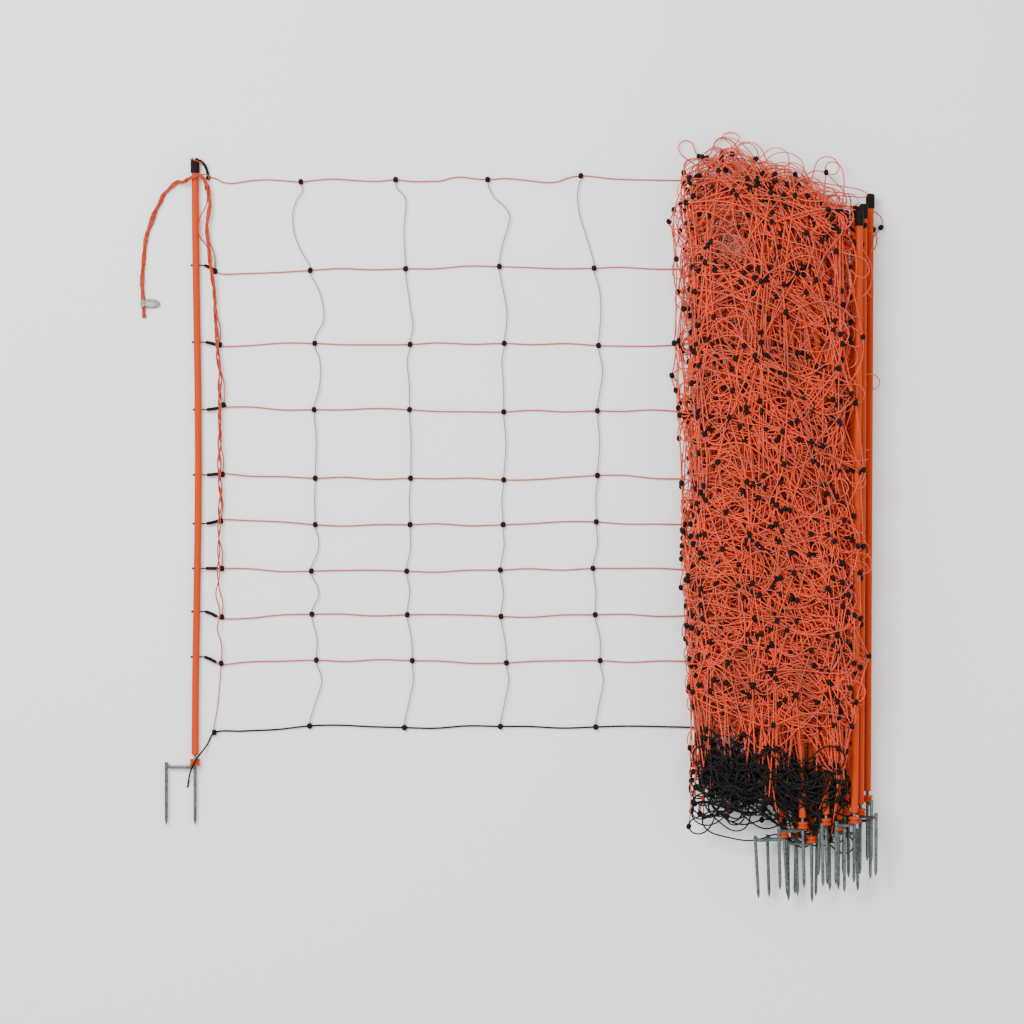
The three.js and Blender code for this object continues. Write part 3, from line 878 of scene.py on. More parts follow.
@dataclass
class PostSet:
    """The net's posts: tube, cap, collar and double spike, along Y with the tube's end at 0."""

    diameter: float = 13.0 * MM
    length: float = POST_LENGTH * MM
    cap_diameter: float = 16.4 * MM
    cap_length: float = 27.0 * MM
    cap_over: float = 18.0 * MM
    collar_diameter: float = 19.0 * MM
    collar_length: float = 12.4 * MM
    rod: float = 6.0 * MM
    bar_drop: float = 4.2 * MM
    spike_gap: float = 52.0 * MM
    spike_length: float = 126.0 * MM
    bend: float = 9.0 * MM
    end_foot: tuple[float, float, float] = (END_POST_X, END_POST_Y, 9.5)
    first_layer: float = 22.0
    layer_step: float = 21.0
    gathered: Points = (
        (511, -566, 477, 0, 5), (571, -557, 553, 0, 161), (606, -533, 600, 0, 135),
        (641, -503, 646, 0, 94), (488, -566, 426, 1, -2), (549, -565, 573, 1, -47),
        (598, -526, 617, 1, 27), (537, -574, 526, 2, -39), (625, -524, 631, 2, 119),
        (586, -552, 589, 2, 98), (520, -547, 495, 3, 31), (562, -541, 542, 3, 78),
        (613, -538, 622, 3, 48),
    )  # each post's foot x and y, head x, layer, and the turn of its spike in degrees

    def tube(self) -> bpy.types.Object:
        """Model a tube with its bore at the foot."""
        r = self.diameter / 2
        Bench.disc(r * 0.93, 20, (0.0, 0.0, 0.0))
        Bench.push(0.0, 0.0, r * 0.08)
        Bench.widen((1 / 0.93, 1 / 0.93, 1.0), (0.0, 0.0, 0.0))
        Bench.push(0.0, 0.0, self.length - r * 0.16)
        Bench.push(0.0, 0.0, r * 0.08)
        Bench.widen((0.93, 0.93, 1.0), (0.0, 0.0, 0.0))
        return self.along_y(Bench.done("tube_pattern"))

    def cap(self) -> bpy.types.Object:
        """Model a cap with a grip ring at its foot, a domed top and a slot for the top strand."""
        r, foot = self.cap_diameter / 2, self.length - self.cap_over
        top = foot + self.cap_length
        ring = [(0.94, 0.0), (1, 0.0006), (1, 0.0030), (0.93, 0.0036), (0.93, 0.0050), (1, 0.0056)]
        dome = [(1, 0.0042), (0.93, 0.0022), (0.74, 0.0006), (0.5, 0.0), (0.34, 0.0002), (0.30, 0.0024)]
        profile = [(r * wide, foot + up) for wide, up in ring]
        profile += [(r * wide, top - down) for wide, down in dome]
        return self.along_y(Bench.turned("cap_pattern", profile, 20, 35.0))

    def collar(self) -> bpy.types.Object:
        """Model the grooved collar under the tube."""
        r = self.collar_diameter / 2
        top = -self.bar_drop - self.rod / 2 - 0.0003
        foot = top - self.collar_length
        steps = [
            (0.55, 0.0), (0.83, 0.0), (0.97, 0.06), (1.0, 0.14), (1.0, 0.38), (0.80, 0.44),
            (0.79, 0.56), (1.0, 0.62), (1.0, 0.86), (0.97, 0.94), (0.83, 1.0), (0.55, 1.0),
        ]
        profile = [(r * a, foot + b * self.collar_length) for a, b in steps]
        return self.along_y(Bench.turned("collar_pattern", profile, 20, 35.0))

    def spike(self) -> bpy.types.Object:
        """Model the double spike: a straight leg into the tube and a bent leg beside it."""
        r, tip = self.rod / 2, -self.spike_length
        cone = [(r * 0.16, tip), (r * 0.34, tip + 0.0006), (r * 0.96, tip + 0.0088), (r, tip + 0.0100)]
        leg = Bench.turned("leg", [*cone, (r, 0.040), (r * 0.8, 0.041)], 12)
        Bench.turned("second_leg", cone, 12)
        second = bpy.context.object
        bpy.ops.object.mode_set(mode="EDIT")
        bpy.ops.mesh.select_all(action="DESELECT")
        bpy.ops.object.mode_set(mode="OBJECT")
        for face in second.data.polygons:
            face.select = face.center.z > tip + 0.0099
        bpy.ops.object.mode_set(mode="EDIT")
        shoulder = -self.bar_drop - self.bend
        Bench.push(0.0, 0.0, shoulder - tip - 0.0100)
        centre = (self.bend, 0.0, shoulder)
        bpy.ops.mesh.spin(steps=6, angle=-math.pi / 2, center=centre, axis=(0.0, -1.0, 0.0))
        Bench.push(self.spike_gap - self.bend, 0.0, 0.0)
        Bench.done("second_leg")
        second.data.transform(Matrix.Translation((-self.spike_gap, 0.0, 0.0)))
        return self.along_y(Bench.joined("spike_pattern", [leg, second]))

    @staticmethod
    def along_y(piece: bpy.types.Object) -> bpy.types.Object:
        """Turn a pattern's Z onto Y and keep X."""
        piece.data.transform(Matrix.Rotation(-math.pi / 2, 4, "X"))
        return piece

    def places(self) -> list[Matrix]:
        """Return where each gathered post lies."""
        out = []
        for x, y, head, layer, turn in self.gathered:
            lean = math.asin((head - x) * MM / self.length)
            place = Matrix.Translation(net_place(x, y, self.first_layer + self.layer_step * layer))
            turned = Matrix.Rotation(math.radians(turn), 4, "Y")
            out.append(place @ Matrix.Rotation(-lean, 4, "Z") @ turned)
        return out

    def build(self, finishes: Finishes) -> None:
        """Place the gathered posts and dress the end post.

        Args:
            finishes: The materials.
        """
        patterns = {
            "tube": self.tube(), "cap": self.cap(), "collar": self.collar(), "spike": self.spike(),
        }
        dress = {
            "tube": (finishes.post, Slot.POST), "cap": (finishes.black, Slot.BLACK),
            "collar": (finishes.post, Slot.POST), "spike": (finishes.steel, Slot.STEEL),
        }
        for i, place in enumerate(self.places()):
            for kind, pattern in patterns.items():
                copy = Bench.placed(pattern, f"post_{i + 1:02d}_{kind}", place)
                finished(copy, *dress[kind])
            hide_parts(f"gathered_post_{i + 1:02d}")
            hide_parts(f"gathered_spike_{i + 1:02d}")
        end = Matrix.Translation(net_place(*self.end_foot))
        for kind in ("collar", "spike"):
            piece = finished(Bench.placed(patterns[kind], f"end_{kind}", end), *dress[kind])
            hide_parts(f"end_post_{kind}")
        for pattern in patterns.values():
            bpy.data.objects.remove(pattern)


# The spread bay.


@dataclass
class SpreadBay:
    """The bay that lies flat: ten rows, four uprights, their knots and the end post's fittings."""

    live: float = 1.3 * MM
    ground: float = 1.6 * MM
    low: float = 3.2
    high: float = 6.8
    first_column: float = -361.0
    column_gap: float = 171.5
    entries: tuple[float, ...] = (311, 306, 294.5, 302, 312, 318.5, 322, 327, 333, 345)
    knot_shifts: tuple = (
        ((-22, -4), (-22, 0), (-27, 0), (-30, 7)), ((-5, -3), (-4, 0), (-6, 4), (-6, 1)),
        ((3, 2), (4, 0), (3, 2), (2, -2)), ((2, 2), (3, 2), (2, -2), (0, 0)),
        ((4, 0), (5, 0), (2, -3), (0, 5)), ((4, -1), (4, -1), (1, -1), (-2, 4)),
        ((-3, -3), (-2, -3), (-4, -1), (-8, 2)), ((-2, 1), (-1, 0), (-3, -3), (-4, 0)),
        ((6, 2), (8, 1), (7, -3), (5, 1)), ((-6, 2), (-6, -1), (-4, 1), (-3, 0)),
    )
    upright_bends: tuple = (
        (((0.09, 3), (0.2, -10), (0.34, -20), (0.44, -22), (0.6, -21), (0.78, -13)),
         ((0.2, 10), (0.45, 19), (0.7, 18), (0.88, 4)), ((0.23, 9), (0.5, 11), (0.72, 8)),
         ((0.43, 3),), ((0.5, -1),), ((0.29, 8), (0.57, 9)), ((0.37, 11), (0.56, 13)), ((0.54, 5),),
         ((0.2, 10), (0.34, 14), (0.55, 9))),
        (((0.1, 1), (0.18, 12), (0.26, 14), (0.4, 10), (0.6, 4)), ((0.47, 4), (0.78, 7)),
         ((0.24, -5), (0.6, -1)), ((0.5, 2),), ((0.5, -2),), ((0.5, 4),), ((0.45, 5),), ((0.5, 3),),
         ((0.3, 6), (0.6, 3))),
        (((0.1, 1), (0.2, 7), (0.3, 22), (0.4, 31), (0.5, 28), (0.66, 17), (0.82, 7)),
         ((0.25, 3), (0.53, 8), (0.72, 7)), ((0.24, -4), (0.6, -1)),
         ((0.5, 4),), ((0.5, -3),), ((0.5, 4),), ((0.5, 5),), ((0.5, 2),), ((0.25, 7), (0.6, 4))),
        (((0.1, -6), (0.25, -12), (0.44, -12), (0.69, -5)), ((0.25, 7), (0.52, 8), (0.79, 4)),
         ((0.37, 8), (0.7, 4)), ((0.5, 4),), ((0.5, -2),), ((0.5, 5),), ((0.5, 3),), ((0.5, 4),),
         ((0.3, 8), (0.6, 4))),
    )
    top_waves: tuple = (
        ((0.09, -7), (0.21, -8), (0.37, -3), (0.58, 1), (0.77, 1)),
        ((0.12, 2), (0.34, 4), (0.6, 0), (0.82, -2)),
        ((0.16, -3), (0.37, -3), (0.5, -2), (0.6, 3), (0.7, 5), (0.85, 2)),
        ((0.17, 1), (0.46, -5), (0.6, -9), (0.75, -9), (0.86, -3)), ((0.33, -3), (0.69, -2)),
    )
    link_rises: tuple[float, ...] = (-11, -5, 3, 2, 5, 0, -9, -10)
    link_feet: tuple[float, ...] = (6, 4, 2, 6, 1, 2, 6, 8)

    def knots(self) -> list[list[tuple[float, float]]]:
        """Return each row's knots on the net's plan."""
        columns = [self.first_column + self.column_gap * c for c in range(4)]
        return [
            [(x + dx, y + dy) for x, (dx, dy) in zip(columns, row)]
            for y, row in zip(ROW_Y, self.knot_shifts)
        ]

    def link_side(self, y: float) -> float:
        """Return where the end post's right side stands at a height."""
        share = (y - END_POST_Y) / POST_LENGTH
        return END_POST_X + END_POST_BOW * math.sin(math.pi * share) ** 2 + 6.5

    def row_start(self, i: int) -> list[tuple[float, float, float]]:
        """Return the first points of a live row, from the hook's eye or a link's tip."""
        if i == 0:
            return [(END_POST_X + 23.5 + 4.2 + 0.3, 606.0, 5.5), (-538.3, 605.0, 5.0)]
        foot_y = ROW_Y[i] + self.link_feet[i - 1]
        rise = self.link_rises[i - 1]
        x = self.link_side(foot_y) + 9 + 21
        way = unit(np.array([10.5, rise * 0.62, -1.3]))
        tip = np.array([x, foot_y + rise, 6.9])
        return [tuple(tip + way * 0.3), tuple(tip + way * 7.0)]

    def ground_tie(self) -> list[tuple[float, float, float]]:
        """Return the ground strand's tail and its turn over the end post's collar."""
        x, groove, over = END_POST_X, -451.7 - 6.0, 20.9
        return [
            (x - 14, groove - 40, 1.9), (x - 11, groove - 22, 6), (x - 5, groove - 3, over + 0.4),
            (x + 4, groove + 14, over + 0.4), (x + 12, groove + 24, over - 6),
            (x + 22, groove + 38, 6), (x + 34, groove + 59, self.low),
        ]

    def row_line(self, i: int) -> list[tuple[float, float, float]]:
        """Return a row's points on the net's plan."""
        points = self.ground_tie() if i == ROWS - 1 else self.row_start(i)
        for k, stop in enumerate([*self.knots()[i], (self.entries[i], ROW_Y[i] - 1)]):
            x0, y0, _ = points[-1]
            sway = [(s, 2.4 * math.sin(2.3 * i + 4.1 * k + 5 * s)) for s in (0.3, 0.66)]
            for share, up in (self.top_waves[k] if i == 0 else sway):
                points.append((x0 + (stop[0] - x0) * share, y0 + (stop[1] - y0) * share + up, self.low))
            points.append((*stop, self.low))
        return points

    def upright_line(self, column: int) -> list[tuple[float, float, float]]:
        """Return an upright's points on the net's plan."""
        knots, points = self.knots(), []
        for i, row in enumerate(knots):
            x, y = row[column]
            points += [(x, y + 6.2, self.high), (x, y - 6.2, self.high)]
            if i + 1 < len(knots):
                x1, y1 = knots[i + 1][column]
                for share, right in self.upright_bends[column][i]:
                    points.append((x + (x1 - x) * share + right, y + (y1 - y) * share, self.high))
        return points

    def build(self, finishes: Finishes) -> None:
        """Lay the rows, the uprights and the knots.

        Args:
            finishes: The materials.
        """
        rows = StrandMesh(self.live)
        for i in range(ROWS - 1):
            rows.add(laid(self.row_line(i)))
        live = rows.piece("spread_live_rows", finishes.panel, Slot.LIVE)
        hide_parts(*[f"live_strand_{i + 1}" for i in range(9)])
        uprights = StrandMesh(self.live * 0.88)
        for column in range(4):
            uprights.add(laid(self.upright_line(column)))
        upright = uprights.piece("spread_uprights", finishes.upright, Slot.LIVE)
        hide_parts(*[f"upright_strand_{i + 1}" for i in range(4)])
        ground = StrandMesh(self.ground)
        ground.add(laid(self.row_line(ROWS - 1)))
        bottom = ground.piece("spread_ground_row", finishes.ground, Slot.GROUND)
        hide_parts("ground_strand")
        self.build_knots(finishes)
        self.build_pin_ends(finishes)

    def build_pin_ends(self, finishes: Finishes) -> None:
        """Turn the ends of the links' pins, which stand out on the end post's far side.

        Args:
            finishes: The materials.
        """
        profile = [
            (0.0009, -0.0024), (0.0017, -0.0018), (0.0019, -0.0006), (0.0019, 0.0012),
            (0.0014, 0.0016),
        ]
        pattern = Bench.turned("pin_pattern", profile, 10)
        feet = [y + foot for y, foot in zip(ROW_Y[1:], self.link_feet)]
        places = np.array([net_place(self.link_side(y) - 14.2, y, 9.5) for y in feet])
        turns = turned_frames(np.tile((1.0, 0.0, 0.0), (len(places), 1)), np.zeros(len(places)))
        finished(Bench.stamped("link_pin_ends", pattern, places, turns), finishes.black, Slot.BLACK)
        bpy.data.objects.remove(pattern)

    def build_knots(self, finishes: Finishes) -> None:
        """Mould the knots over the crossings and beside the end post.

        Args:
            finishes: The materials.
        """
        rng = np.random.default_rng(5)
        places = [net_place(x, y, 5.0) for row in self.knots() for x, y in row]
        places += [net_place(x, y, 6.0) for x, y in (*LEAD_KNOTS, (-539.6, -397.8), (-552.5, 588.0))]
        count = len(places)
        ways = np.column_stack([rng.normal(0, 0.12, count), np.ones(count), rng.normal(0, 0.1, count)])
        pattern = KnotPattern().fine()
        turns = turned_frames(ways, rng.uniform(0, 6, len(places)))
        knots = Bench.stamped("spread_knots", pattern, np.array(places), turns)
        finished(knots, finishes.black, Slot.BLACK)
        bpy.data.objects.remove(pattern)


@dataclass
class Riser:
    """The joining lead up the end post: a strand from each live row, twisted together on the way up."""

    strand: float = 1.2 * MM
    route: Points = (
        (-589, 600, 17), (-577, 605.5, 19.8), (-566, 608, 19.8), (-557, 602, 17), (-551.5, 589, 13.5),
        (-548.5, 570, 13.5), (-547.5, 555, 13.5), (-549.5, 537, 13.5), (-552, 515, 13.5),
        (-550, 485, 13.5), (-547, 459, 18), (-543, 430, 18), (-540, 408, 13.5), (-537, 370, 13.5),
        (-537, 345, 13.5), (-534, 318, 13.5), (-532, 278, 13.5), (-528, 247, 13.5), (-530, 222, 13.5),
        (-529, 206, 13.5), (-529, 146, 13.5), (-530, 95, 13.5), (-528, 40, 13.5), (-529, 10, 13.5),
        (-531, -60, 13.5), (-531, -90, 13.5), (-533, -148, 13.5), (-532, -175, 13.5),
        (-531, -220, 13.5), (-530, -262, 13.5),
    )
    branches: Points = ((-550, 600), *LEAD_KNOTS)
    loose: Points = (
        (-552, 588, 14), (-553, 557.5, 10), (-565, 532, 15.5), (-566.4, 501.5, 15.5),
        (-552.4, 481.3, 12), (-548, 462, 12),
    )
    drop: Points = ((-527, -273, 6), (-529, -300, 4), (-533, -345, 3.5), (-540.8, -393.3, 5))
    over_cap: Points = (
        (-583, 639.5, 12), (-581, 638.5, 17.5), (-577, 637.5, 19.2), (-571, 635, 19.2),
        (-566, 633.5, 17), (-560.5, 631.5, 12.6),
    )

    def build(self, finishes: Finishes) -> None:
        """Twist the strands together.

        Args:
            finishes: The materials.
        """
        centre = laid(self.route, 0.004)
        mesh = StrandMesh(self.strand, 6)
        rope = Rope(9, 2.5 * MM, self.strand, 0.075)
        lines = rope.lines(centre)
        lines[8] = centre
        rng = np.random.default_rng(3)
        for i, (x, y) in enumerate(self.branches):
            knot = np.array(net_place(x, y, 6.5))
            leave = knot[1] + 0.052 + rng.uniform(-0.008, 0.01)
            below = (centre[:, 1] < leave) & (np.arange(len(centre)) > 8)
            stop = int(np.argmax(below)) or len(centre) - 1
            kept = lines[(i * 4) % 9][:stop]
            bend = kept[-1] * 0.42 + knot * 0.58 + np.array([0.004, 0.006, 0.001])
            mesh.add(smooth_line([*kept[::3], bend, knot], 0.006))
        mesh.add(laid(self.loose))
        mesh.add(laid(self.drop), 0.9 * MM)
        mesh.add(laid(self.over_cap, 0.003), 1.0 * MM)
        riser = mesh.piece("riser_strands", finishes.lead, Slot.LIVE)
        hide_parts("lead_riser")


# The heap.


# Where the folds of the heap turn and how long their steps are, in metres.
FOLD_LIMITS, MIDDLE = (0.280, 0.600), (0.40, 0.53)
LEFT_TURNS, RIGHT_TURNS = (0.287, 0.335), (0.540, 0.590)
EDGE_STEPS, FREE_STEPS, SHORT_STEPS = (0.105, 0.168), (0.125, 0.160), (0.04, 0.08)
# The box that holds the heap's strands, and how far their centres keep from a post's.
HEAP_X, HEAP_Y = (0.222, 0.660), (-0.600, 0.705)
FLOOR_CLEAR, ROOF_SPARE, POST_CLEAR = 0.0018, 0.012, 0.0082
# How strongly each settling step works.
PULL, BEND, GIVE, HOMING, DRIFT = 0.5, 0.3, 0.5, 0.035, 0.03


@dataclass
class GatheredNet:
    """The rest of the net, folded to and fro between the gathered posts and settled."""

    posts: PostSet
    bay: SpreadBay
    seed: int = 4
    parts: int = 12
    span: float = 171.5 * MM
    spans: int = 21
    first_spans: int = 16
    settle_steps: int = 420
    roof: float = 0.112
    live: float = 1.15 * MM
    ground: float = 1.5 * MM
    row_gaps: tuple[float, ...] = (161, 137, 120, 122, 83, 82, 82, 84, 119)
    brow_x: tuple[float, ...] = (0.25, 0.29, 0.33, 0.45, 0.49, 0.55, 0.60, 0.64)
    brow_y: tuple[float, ...] = (-0.060, -0.014, 0.022, 0.024, -0.016, -0.078, -0.116, -0.130)

    def roof_at(self, x: np.ndarray, y: np.ndarray) -> np.ndarray:
        """Return how high the heap may stand at each place."""
        left = np.clip((x - 0.235) / 0.13, 0, 1) ** 0.6
        right = np.clip((0.675 - x) / 0.07, 0, 1) ** 0.6
        top = np.clip((0.70 - y) / 0.16, 0, 1) ** 0.6
        foot = np.clip((y + 0.63) / 0.20, 0, 1) ** 0.6
        return 0.014 + self.roof * np.minimum(np.minimum(left, right), np.minimum(top, foot))

    def post_line(self, b: int) -> tuple[np.ndarray, np.ndarray]:
        """Return a gathered post's foot and its way, in the frame."""
        x, y, head, layer, _ = self.posts.gathered[b]
        foot = np.array(net_place(x, y, self.posts.first_layer + self.posts.layer_step * layer))
        dx, length = (head - x) * MM, self.posts.length
        return foot, np.array([dx, math.sqrt(length ** 2 - dx ** 2), 0.0]) / length

    @staticmethod
    def folds(start: float, post: float, spans: int, rng: np.random.Generator) -> np.ndarray:
        """Fold one bay to and fro, worked back from its post, each column a span or less from the next.

        Args:
            start: Where the last bay's post stands.
            post: Where this bay's post lies.
            spans: Spans in the bay.
            rng: The random numbers.

        Returns:
            Where each of the bay's free columns stands.
        """
        starts_mid, ends_mid = MIDDLE[0] < start < MIDDLE[1], post < MIDDLE[1]
        x, way, to_edge, out = post, -1.0, ends_mid, []
        last_is_edge = (spans - 2) % 2 == (0 if ends_mid else 1)
        short = int(rng.integers(3, spans - 4)) if last_is_edge != starts_mid else -1
        for k in range(spans - 1):
            if k == short:
                x += way * rng.uniform(*SHORT_STEPS)
            elif to_edge:
                edge = rng.uniform(*(LEFT_TURNS if way < 0 else RIGHT_TURNS))
                x += way * min(max(abs(edge - x), EDGE_STEPS[0]), EDGE_STEPS[1])
                way, to_edge = -way, False
            else:
                x += way * rng.uniform(*FREE_STEPS)
                to_edge = True
            x = min(max(x, FOLD_LIMITS[0]), FOLD_LIMITS[1])
            out.append(x)
        return np.array(out[::-1])

    def columns(self, rng: np.random.Generator) -> tuple[np.ndarray, np.ndarray, np.ndarray]:
        """Lay out the knots of every column.

        Args:
            rng: The random numbers.

        Returns:
            Places as (row, column, 3), whether each column is a post, and its share of height.
        """
        rows = np.array(ROW_Y) * MM + NET_SHIFT[1] * MM
        entry = np.array([net_place(x, y - 1, self.bay.low) for x, y in zip(self.bay.entries, ROW_Y)])
        targets, is_post, share = [entry], [True], [0.02]
        bays = len(self.posts.gathered)
        last_x = 0.30
        for b in range(bays):
            spans = self.first_spans if b == 0 else self.spans
            foot, way = self.post_line(b)
            xs = self.folds(last_x, foot[0], spans, rng)
            lift = rng.normal(-0.010, 0.030, spans)
            lift = lift - rng.uniform(0.03, 0.10, spans) * (rng.random(spans) < 0.24)
            level = np.cumsum(rng.normal(0, 1, spans))
            for j, x in enumerate(xs):
                mix = np.linspace(0, 1, ROWS)
                calm = 0.45 if x < 0.335 and rng.random() > 0.12 else 1.0
                loose = np.interp(mix, (0, 0.25, 1), (0.046, 0.034, 0.022))
                sway = rng.normal(0, 0.010) + rng.normal(0, 1, ROWS) * loose
                x_row = x + calm * sway + 0.026 * mix * (x < 0.40)
                right = np.clip((x_row - 0.42) / 0.20, 0, 1)
                down_top = np.interp(x_row, self.brow_x, self.brow_y)
                down_foot = -0.030 - 0.050 * right
                shift = down_top * (1 - mix) + down_foot * mix
                uneven = np.interp(mix, (0, 0.3, 1), (0.024, 0.018, 0.014))
                y_row = rows + shift + lift[j] + rng.normal(0, 1, ROWS) * uneven
                y_row[-1] -= 0.010 + abs(rng.normal(0, 0.030))
                height = (b + (j + 1) / spans) / bays + 0.05 * math.sin(level[j])
                targets.append(np.column_stack([x_row, y_row, np.zeros(ROWS)]))
                is_post.append(False)
                share.append(max(height, 0.0) ** 0.6)
            along = np.array([r * MM + 0.438 for r in ROW_Y])
            along[0] = self.posts.length + 0.010
            along[-1] = -0.0137
            on_post = foot + way * along[:, None] + np.array([-0.008, 0.0, 0.004])
            targets.append(on_post)
            is_post.append(True)
            share.append(((b + 1) / bays) ** 0.6)
            last_x = foot[0]
        knots = np.stack(targets, axis=1)
        for row in knots:
            self.bunch(row, np.array(is_post), rng)
        return knots, np.array(is_post), np.clip(np.array(share), 0.02, 1.0)

    @staticmethod
    def bunch(row: np.ndarray, is_post: np.ndarray, rng: np.random.Generator) -> None:
        """Draw about half of a row's loose knots together in clusters, in place."""
        middle = np.median(row[:, 1])
        centres = np.column_stack([rng.uniform(0.29, 0.60, 15), rng.normal(middle, 0.035, 15)])
        gap = row[:, None, :2] - centres
        far = np.linalg.norm(gap, axis=-1)
        nearest = far.argmin(axis=1)
        near = (far.min(axis=1) < 0.060) & ~is_post & (rng.random(len(row)) < 0.55)
        row[near, :2] -= gap[near, nearest[near]] * rng.uniform(0.55, 0.9, (near.sum(), 1))

    def settle(self) -> tuple[np.ndarray, list[np.ndarray], np.ndarray, np.ndarray]:
        """Relax the strands to their real lengths as stiff, springy wires.

        Returns:
            Rows as (row, station, 3), uprights by gap as (column, station, 3), the knots, and which
            of their columns are posts.
        """
        rng = np.random.default_rng(self.seed)
        knots, is_post, share = self.columns(rng)
        rows, cols, _ = knots.shape
        parts = self.parts
        layer = share * self.roof_at(knots[..., 0], knots[..., 1])
        knots[..., 2] = np.where(is_post[None, :], knots[..., 2], layer)
        grow = np.linspace(0, 1, parts + 1)[:-1]
        a, b = knots[:, :-1, None], knots[:, 1:, None]
        line = a + (b - a) * grow[:, None]
        bulge = rng.normal(0, 1, (rows, cols - 1, 1, 3)) * np.array([0.012, 0.024, 0.030])
        crown = np.interp(knots[0, :-1, 0], (0.46, 0.56), (1.0, 0.2))
        bulge[0, :, 0, 1] = (np.abs(bulge[0, :, 0, 1]) + 0.006) * crown
        bulge[-1, :, 0, 1] = -np.abs(bulge[-1, :, 0, 1]) - 0.004
        bulge[[0, -1], :, 0, 2] = np.abs(bulge[[0, -1], :, 0, 2]) * 0.8
        line = line + bulge * np.sin(math.pi * grow)[:, None] + rng.normal(0, 0.001, line.shape)
        chain = np.concatenate([line.reshape(rows, -1, 3), knots[:, -1:]], axis=1)
        rest = self.span / parts
        rest_row = np.full((1, chain.shape[1] - 1, 1), rest)
        share_row = np.interp(np.arange(chain.shape[1]) / parts, np.arange(cols), share)
        pins = np.repeat(is_post[None, :], rows, axis=0)
        uprights, lengths = [], []
        for g, gap in enumerate(self.row_gaps):
            count = max(4, round(gap * MM / rest))
            steps = np.linspace(0, 1, count + 1)[1:-1, None]
            top, low = knots[g, :, None], knots[g + 1, :, None]
            side = rng.normal(0, 1, (cols, 1, 3)) * np.array([0.010, 0.0, 0.006])
            uprights.append(top + (low - top) * steps + side * np.sin(math.pi * steps))
            lengths.append(gap * MM / count)
        home = knots.copy()
        lines = [self.post_line(i) for i in range(len(self.posts.gathered))]
        for step in range(self.settle_steps):
            self.pull(chain, rest_row)
            self.bend(chain, 2 * rest)
            at_knots = chain[:, ::parts]
            change = np.zeros_like(at_knots)
            for g, inner in enumerate(uprights):
                whole = np.concatenate([at_knots[g][:, None], inner, at_knots[g + 1][:, None]], axis=1)
                before = whole.copy()
                self.pull(whole, lengths[g])
                self.bend(whole, 2 * lengths[g])
                uprights[g] = whole[:, 1:-1]
                change[g] += whole[:, 0] - before[:, 0]
                change[g + 1] += whole[:, -1] - before[:, -1]
            at_knots = at_knots + change * GIVE
            at_knots += (home - at_knots) * HOMING
            chain[:, ::parts] = np.where(pins[..., None], knots, at_knots)
            self.keep_level(chain, share_row)
            for inner in uprights:
                self.keep_level(inner, share[:, None])
            if step % 8 == 7:
                for body in (chain, *uprights):
                    self.clear_posts(body, lines)
                chain[:, ::parts] = np.where(pins[..., None], knots, chain[:, ::parts])
        return chain, uprights, chain[:, ::parts].copy(), is_post

    @staticmethod
    def pull(chain: np.ndarray, rest: Any) -> None:
        """Bring neighbours towards their distance, in place."""
        gap = chain[:, 1:] - chain[:, :-1]
        far = np.maximum(sizes(gap), 1e-6)
        fix = gap * (0.5 * PULL * 1.6 * (far - rest) / far)
        chain[:, :-1] += fix
        chain[:, 1:] -= fix

    @staticmethod
    def bend(chain: np.ndarray, rest: float) -> None:
        """Push every second neighbour apart, as a springy wire does, in place."""
        gap = chain[:, 2:] - chain[:, :-2]
        far = np.maximum(sizes(gap), 1e-6)
        fix = gap * (0.5 * BEND * (far - rest) / far)
        chain[:, :-2] += fix
        chain[:, 2:] -= fix
        chain[:, 1:-1] += (0.5 * (chain[:, 2:] + chain[:, :-2]) - chain[:, 1:-1]) * 0.10

    def keep_level(self, chain: np.ndarray, share: np.ndarray) -> None:
        """Draw each station towards its layer, over the floor and under the roof, in place."""
        roof = self.roof_at(chain[..., 0], chain[..., 1])
        chain[..., 2] += (share * roof - chain[..., 2]) * DRIFT
        chain[..., 2] = np.clip(chain[..., 2], FLOOR_CLEAR, roof + ROOF_SPARE)
        edge = 0.271 + 0.034 * (0.62 - chain[..., 1])
        chain[..., 0] += np.maximum(edge - chain[..., 0], 0.0) * DRIFT
        chain[..., 0] = np.clip(chain[..., 0], *HEAP_X)
        chain[..., 1] = np.clip(chain[..., 1], *HEAP_Y)

    @staticmethod
    def clear_posts(chain: np.ndarray, lines: list[tuple[np.ndarray, np.ndarray]]) -> None:
        """Push stations out of the gathered posts, in place."""
        for foot, way in lines:
            rel = chain - foot
            far = rel @ way
            out = rel - far[..., None] * way
            gap = sizes(out)
            inside = (gap < POST_CLEAR) & (far[..., None] > -0.01) & (far[..., None] < 1.08)
            chain += np.where(inside, out / np.maximum(gap, 1e-5) * (POST_CLEAR - gap), 0.0)

    @staticmethod
    def finer(chain: np.ndarray, every: int, into: int) -> np.ndarray:
        """Round the stations off with a smooth line, from every few steps into more.

        Args:
            chain: Lines as (line, station, 3).
            every: Steps that are taken together.
            into: Steps that take their place.

        Returns:
            The smoother lines.
        """
        stations = chain.shape[1] - 1
        at = np.arange(stations * into // every + 1) * every / into
        i = np.minimum(at.astype(int), stations - 1)
        t = (at - i)[None, :, None]
        p0, p1 = chain[:, np.maximum(i - 1, 0)], chain[:, i]
        p2, p3 = chain[:, i + 1], chain[:, np.minimum(i + 2, stations)]
        return 0.5 * (2 * p1 + (p2 - p0) * t + (2 * p0 - 5 * p1 + 4 * p2 - p3) * t ** 2
                      + (3 * p1 - p0 - 3 * p2 + p3) * t ** 3)

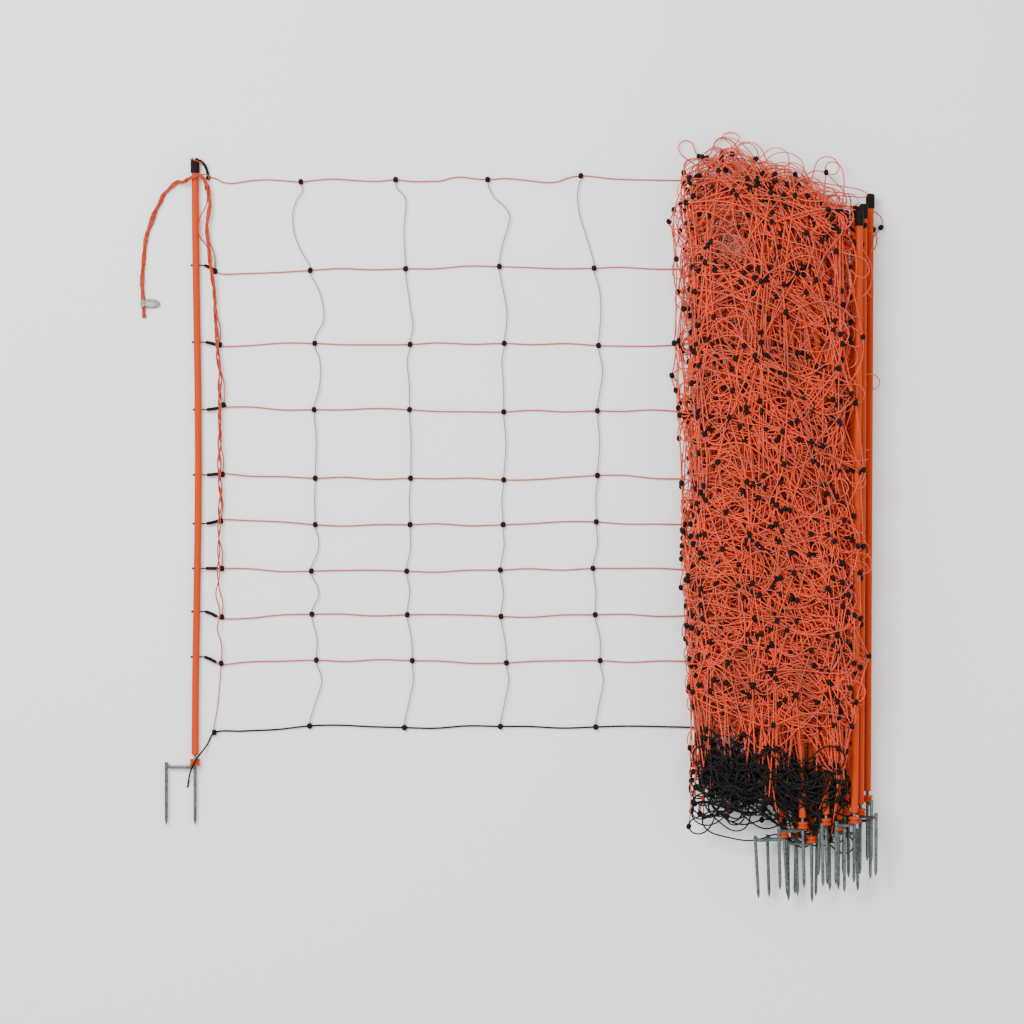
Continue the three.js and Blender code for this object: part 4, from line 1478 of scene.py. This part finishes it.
    def build(self, finishes: Finishes) -> None:
        """Settle the net and make its strands and knots.

        Args:
            finishes: The materials.
        """
        chain, uprights, knots, is_post = self.settle()
        stretch = np.linalg.norm(np.diff(chain, axis=1), axis=-1) / (self.span / self.parts)
        log.info("settled with a stretch of %.3f to %.3f", stretch.min(), stretch.max())
        for k, name in enumerate(("top", "second", "third")):
            mesh = StrandMesh(self.live, 4)
            mesh.add(self.finer(chain[k * 3:k * 3 + 3], 2, 3))
            mesh.piece(f"gathered_{name}_rows", finishes.live, Slot.LIVE)
        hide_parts("netting_heap_live")
        ground = StrandMesh(self.ground, 5)
        ground.add(self.finer(chain[9:10], 1, 2))
        black = ground.piece("gathered_ground_row", finishes.ground, Slot.GROUND)
        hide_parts("netting_heap_ground")
        free = ~is_post
        whole = [knots[0][free][:, None]]
        for g, inner in enumerate(uprights):
            whole += [inner[free], knots[g + 1][free][:, None]]
        columns = np.concatenate(whole, axis=1)
        half = len(columns) // 2
        for name, part in (("lower", columns[:half]), ("upper", columns[half:])):
            mesh = StrandMesh(self.live, 4)
            mesh.add(part)
            mesh.piece(f"gathered_{name}_uprights", finishes.live, Slot.LIVE)
        self.knots(knots[:, free], columns, finishes)

    def knots(self, knots: np.ndarray, columns: np.ndarray, finishes: Finishes) -> None:
        """Mould the knots of the heap.

        Args:
            knots: Their places as (row, column, 3).
            columns: The uprights, for the knots' directions.
            finishes: The materials.
        """
        rng = np.random.default_rng(self.seed + 1)
        rest = self.span / self.parts
        counts = np.cumsum([0] + [max(4, round(g * MM / rest)) for g in self.row_gaps])
        ways = []
        for at in counts:
            low, high = max(at - 1, 0), min(at + 1, columns.shape[1] - 1)
            ways.append(columns[:, low] - columns[:, high])
        ways = unit(np.array(ways)).reshape(-1, 3)
        pattern = KnotPattern().coarse()
        places = knots.reshape(-1, 3)
        places[:, 2] = np.maximum(places[:, 2], 0.0052)
        turns = turned_frames(ways, rng.uniform(0, 6, len(places)))
        knots_piece = Bench.stamped("gathered_knots", pattern, places, turns)
        finished(knots_piece, finishes.black, Slot.BLACK)
        bpy.data.objects.remove(pattern)


# The whole.


def dress_nodes(names: Iterable[str], material: bpy.types.Material) -> None:
    """Give carried-over CAD nodes their finish.

    Args:
        names: The nodes' names.
        material: The finish.
    """
    for name in names:
        node = bpy.data.objects[name]
        node.data.materials.clear()
        node.data.materials.append(material)


def main() -> None:
    """Build the studio, the cord and every sub-assembly."""
    logging.basicConfig(level=logging.INFO, format="%(name)s %(message)s")
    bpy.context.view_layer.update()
    studio = Studio()
    studio.camera()
    finishes = Finishes()
    LeadIn().build(finishes)
    studio.lights()
    studio.floor(finishes.floor)
    posts, bay = PostSet(), SpreadBay()
    posts.build(finishes)
    bay.build(finishes)
    Riser().build(finishes)
    GatheredNet(posts, bay).build(finishes)
    dress_nodes(["end_post_tube"], finishes.post)
    dress_nodes(["end_post_cap", *[f"link_{i}" for i in range(2, 10)]], finishes.black)
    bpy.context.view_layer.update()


if __name__ == "__main__":
    main()
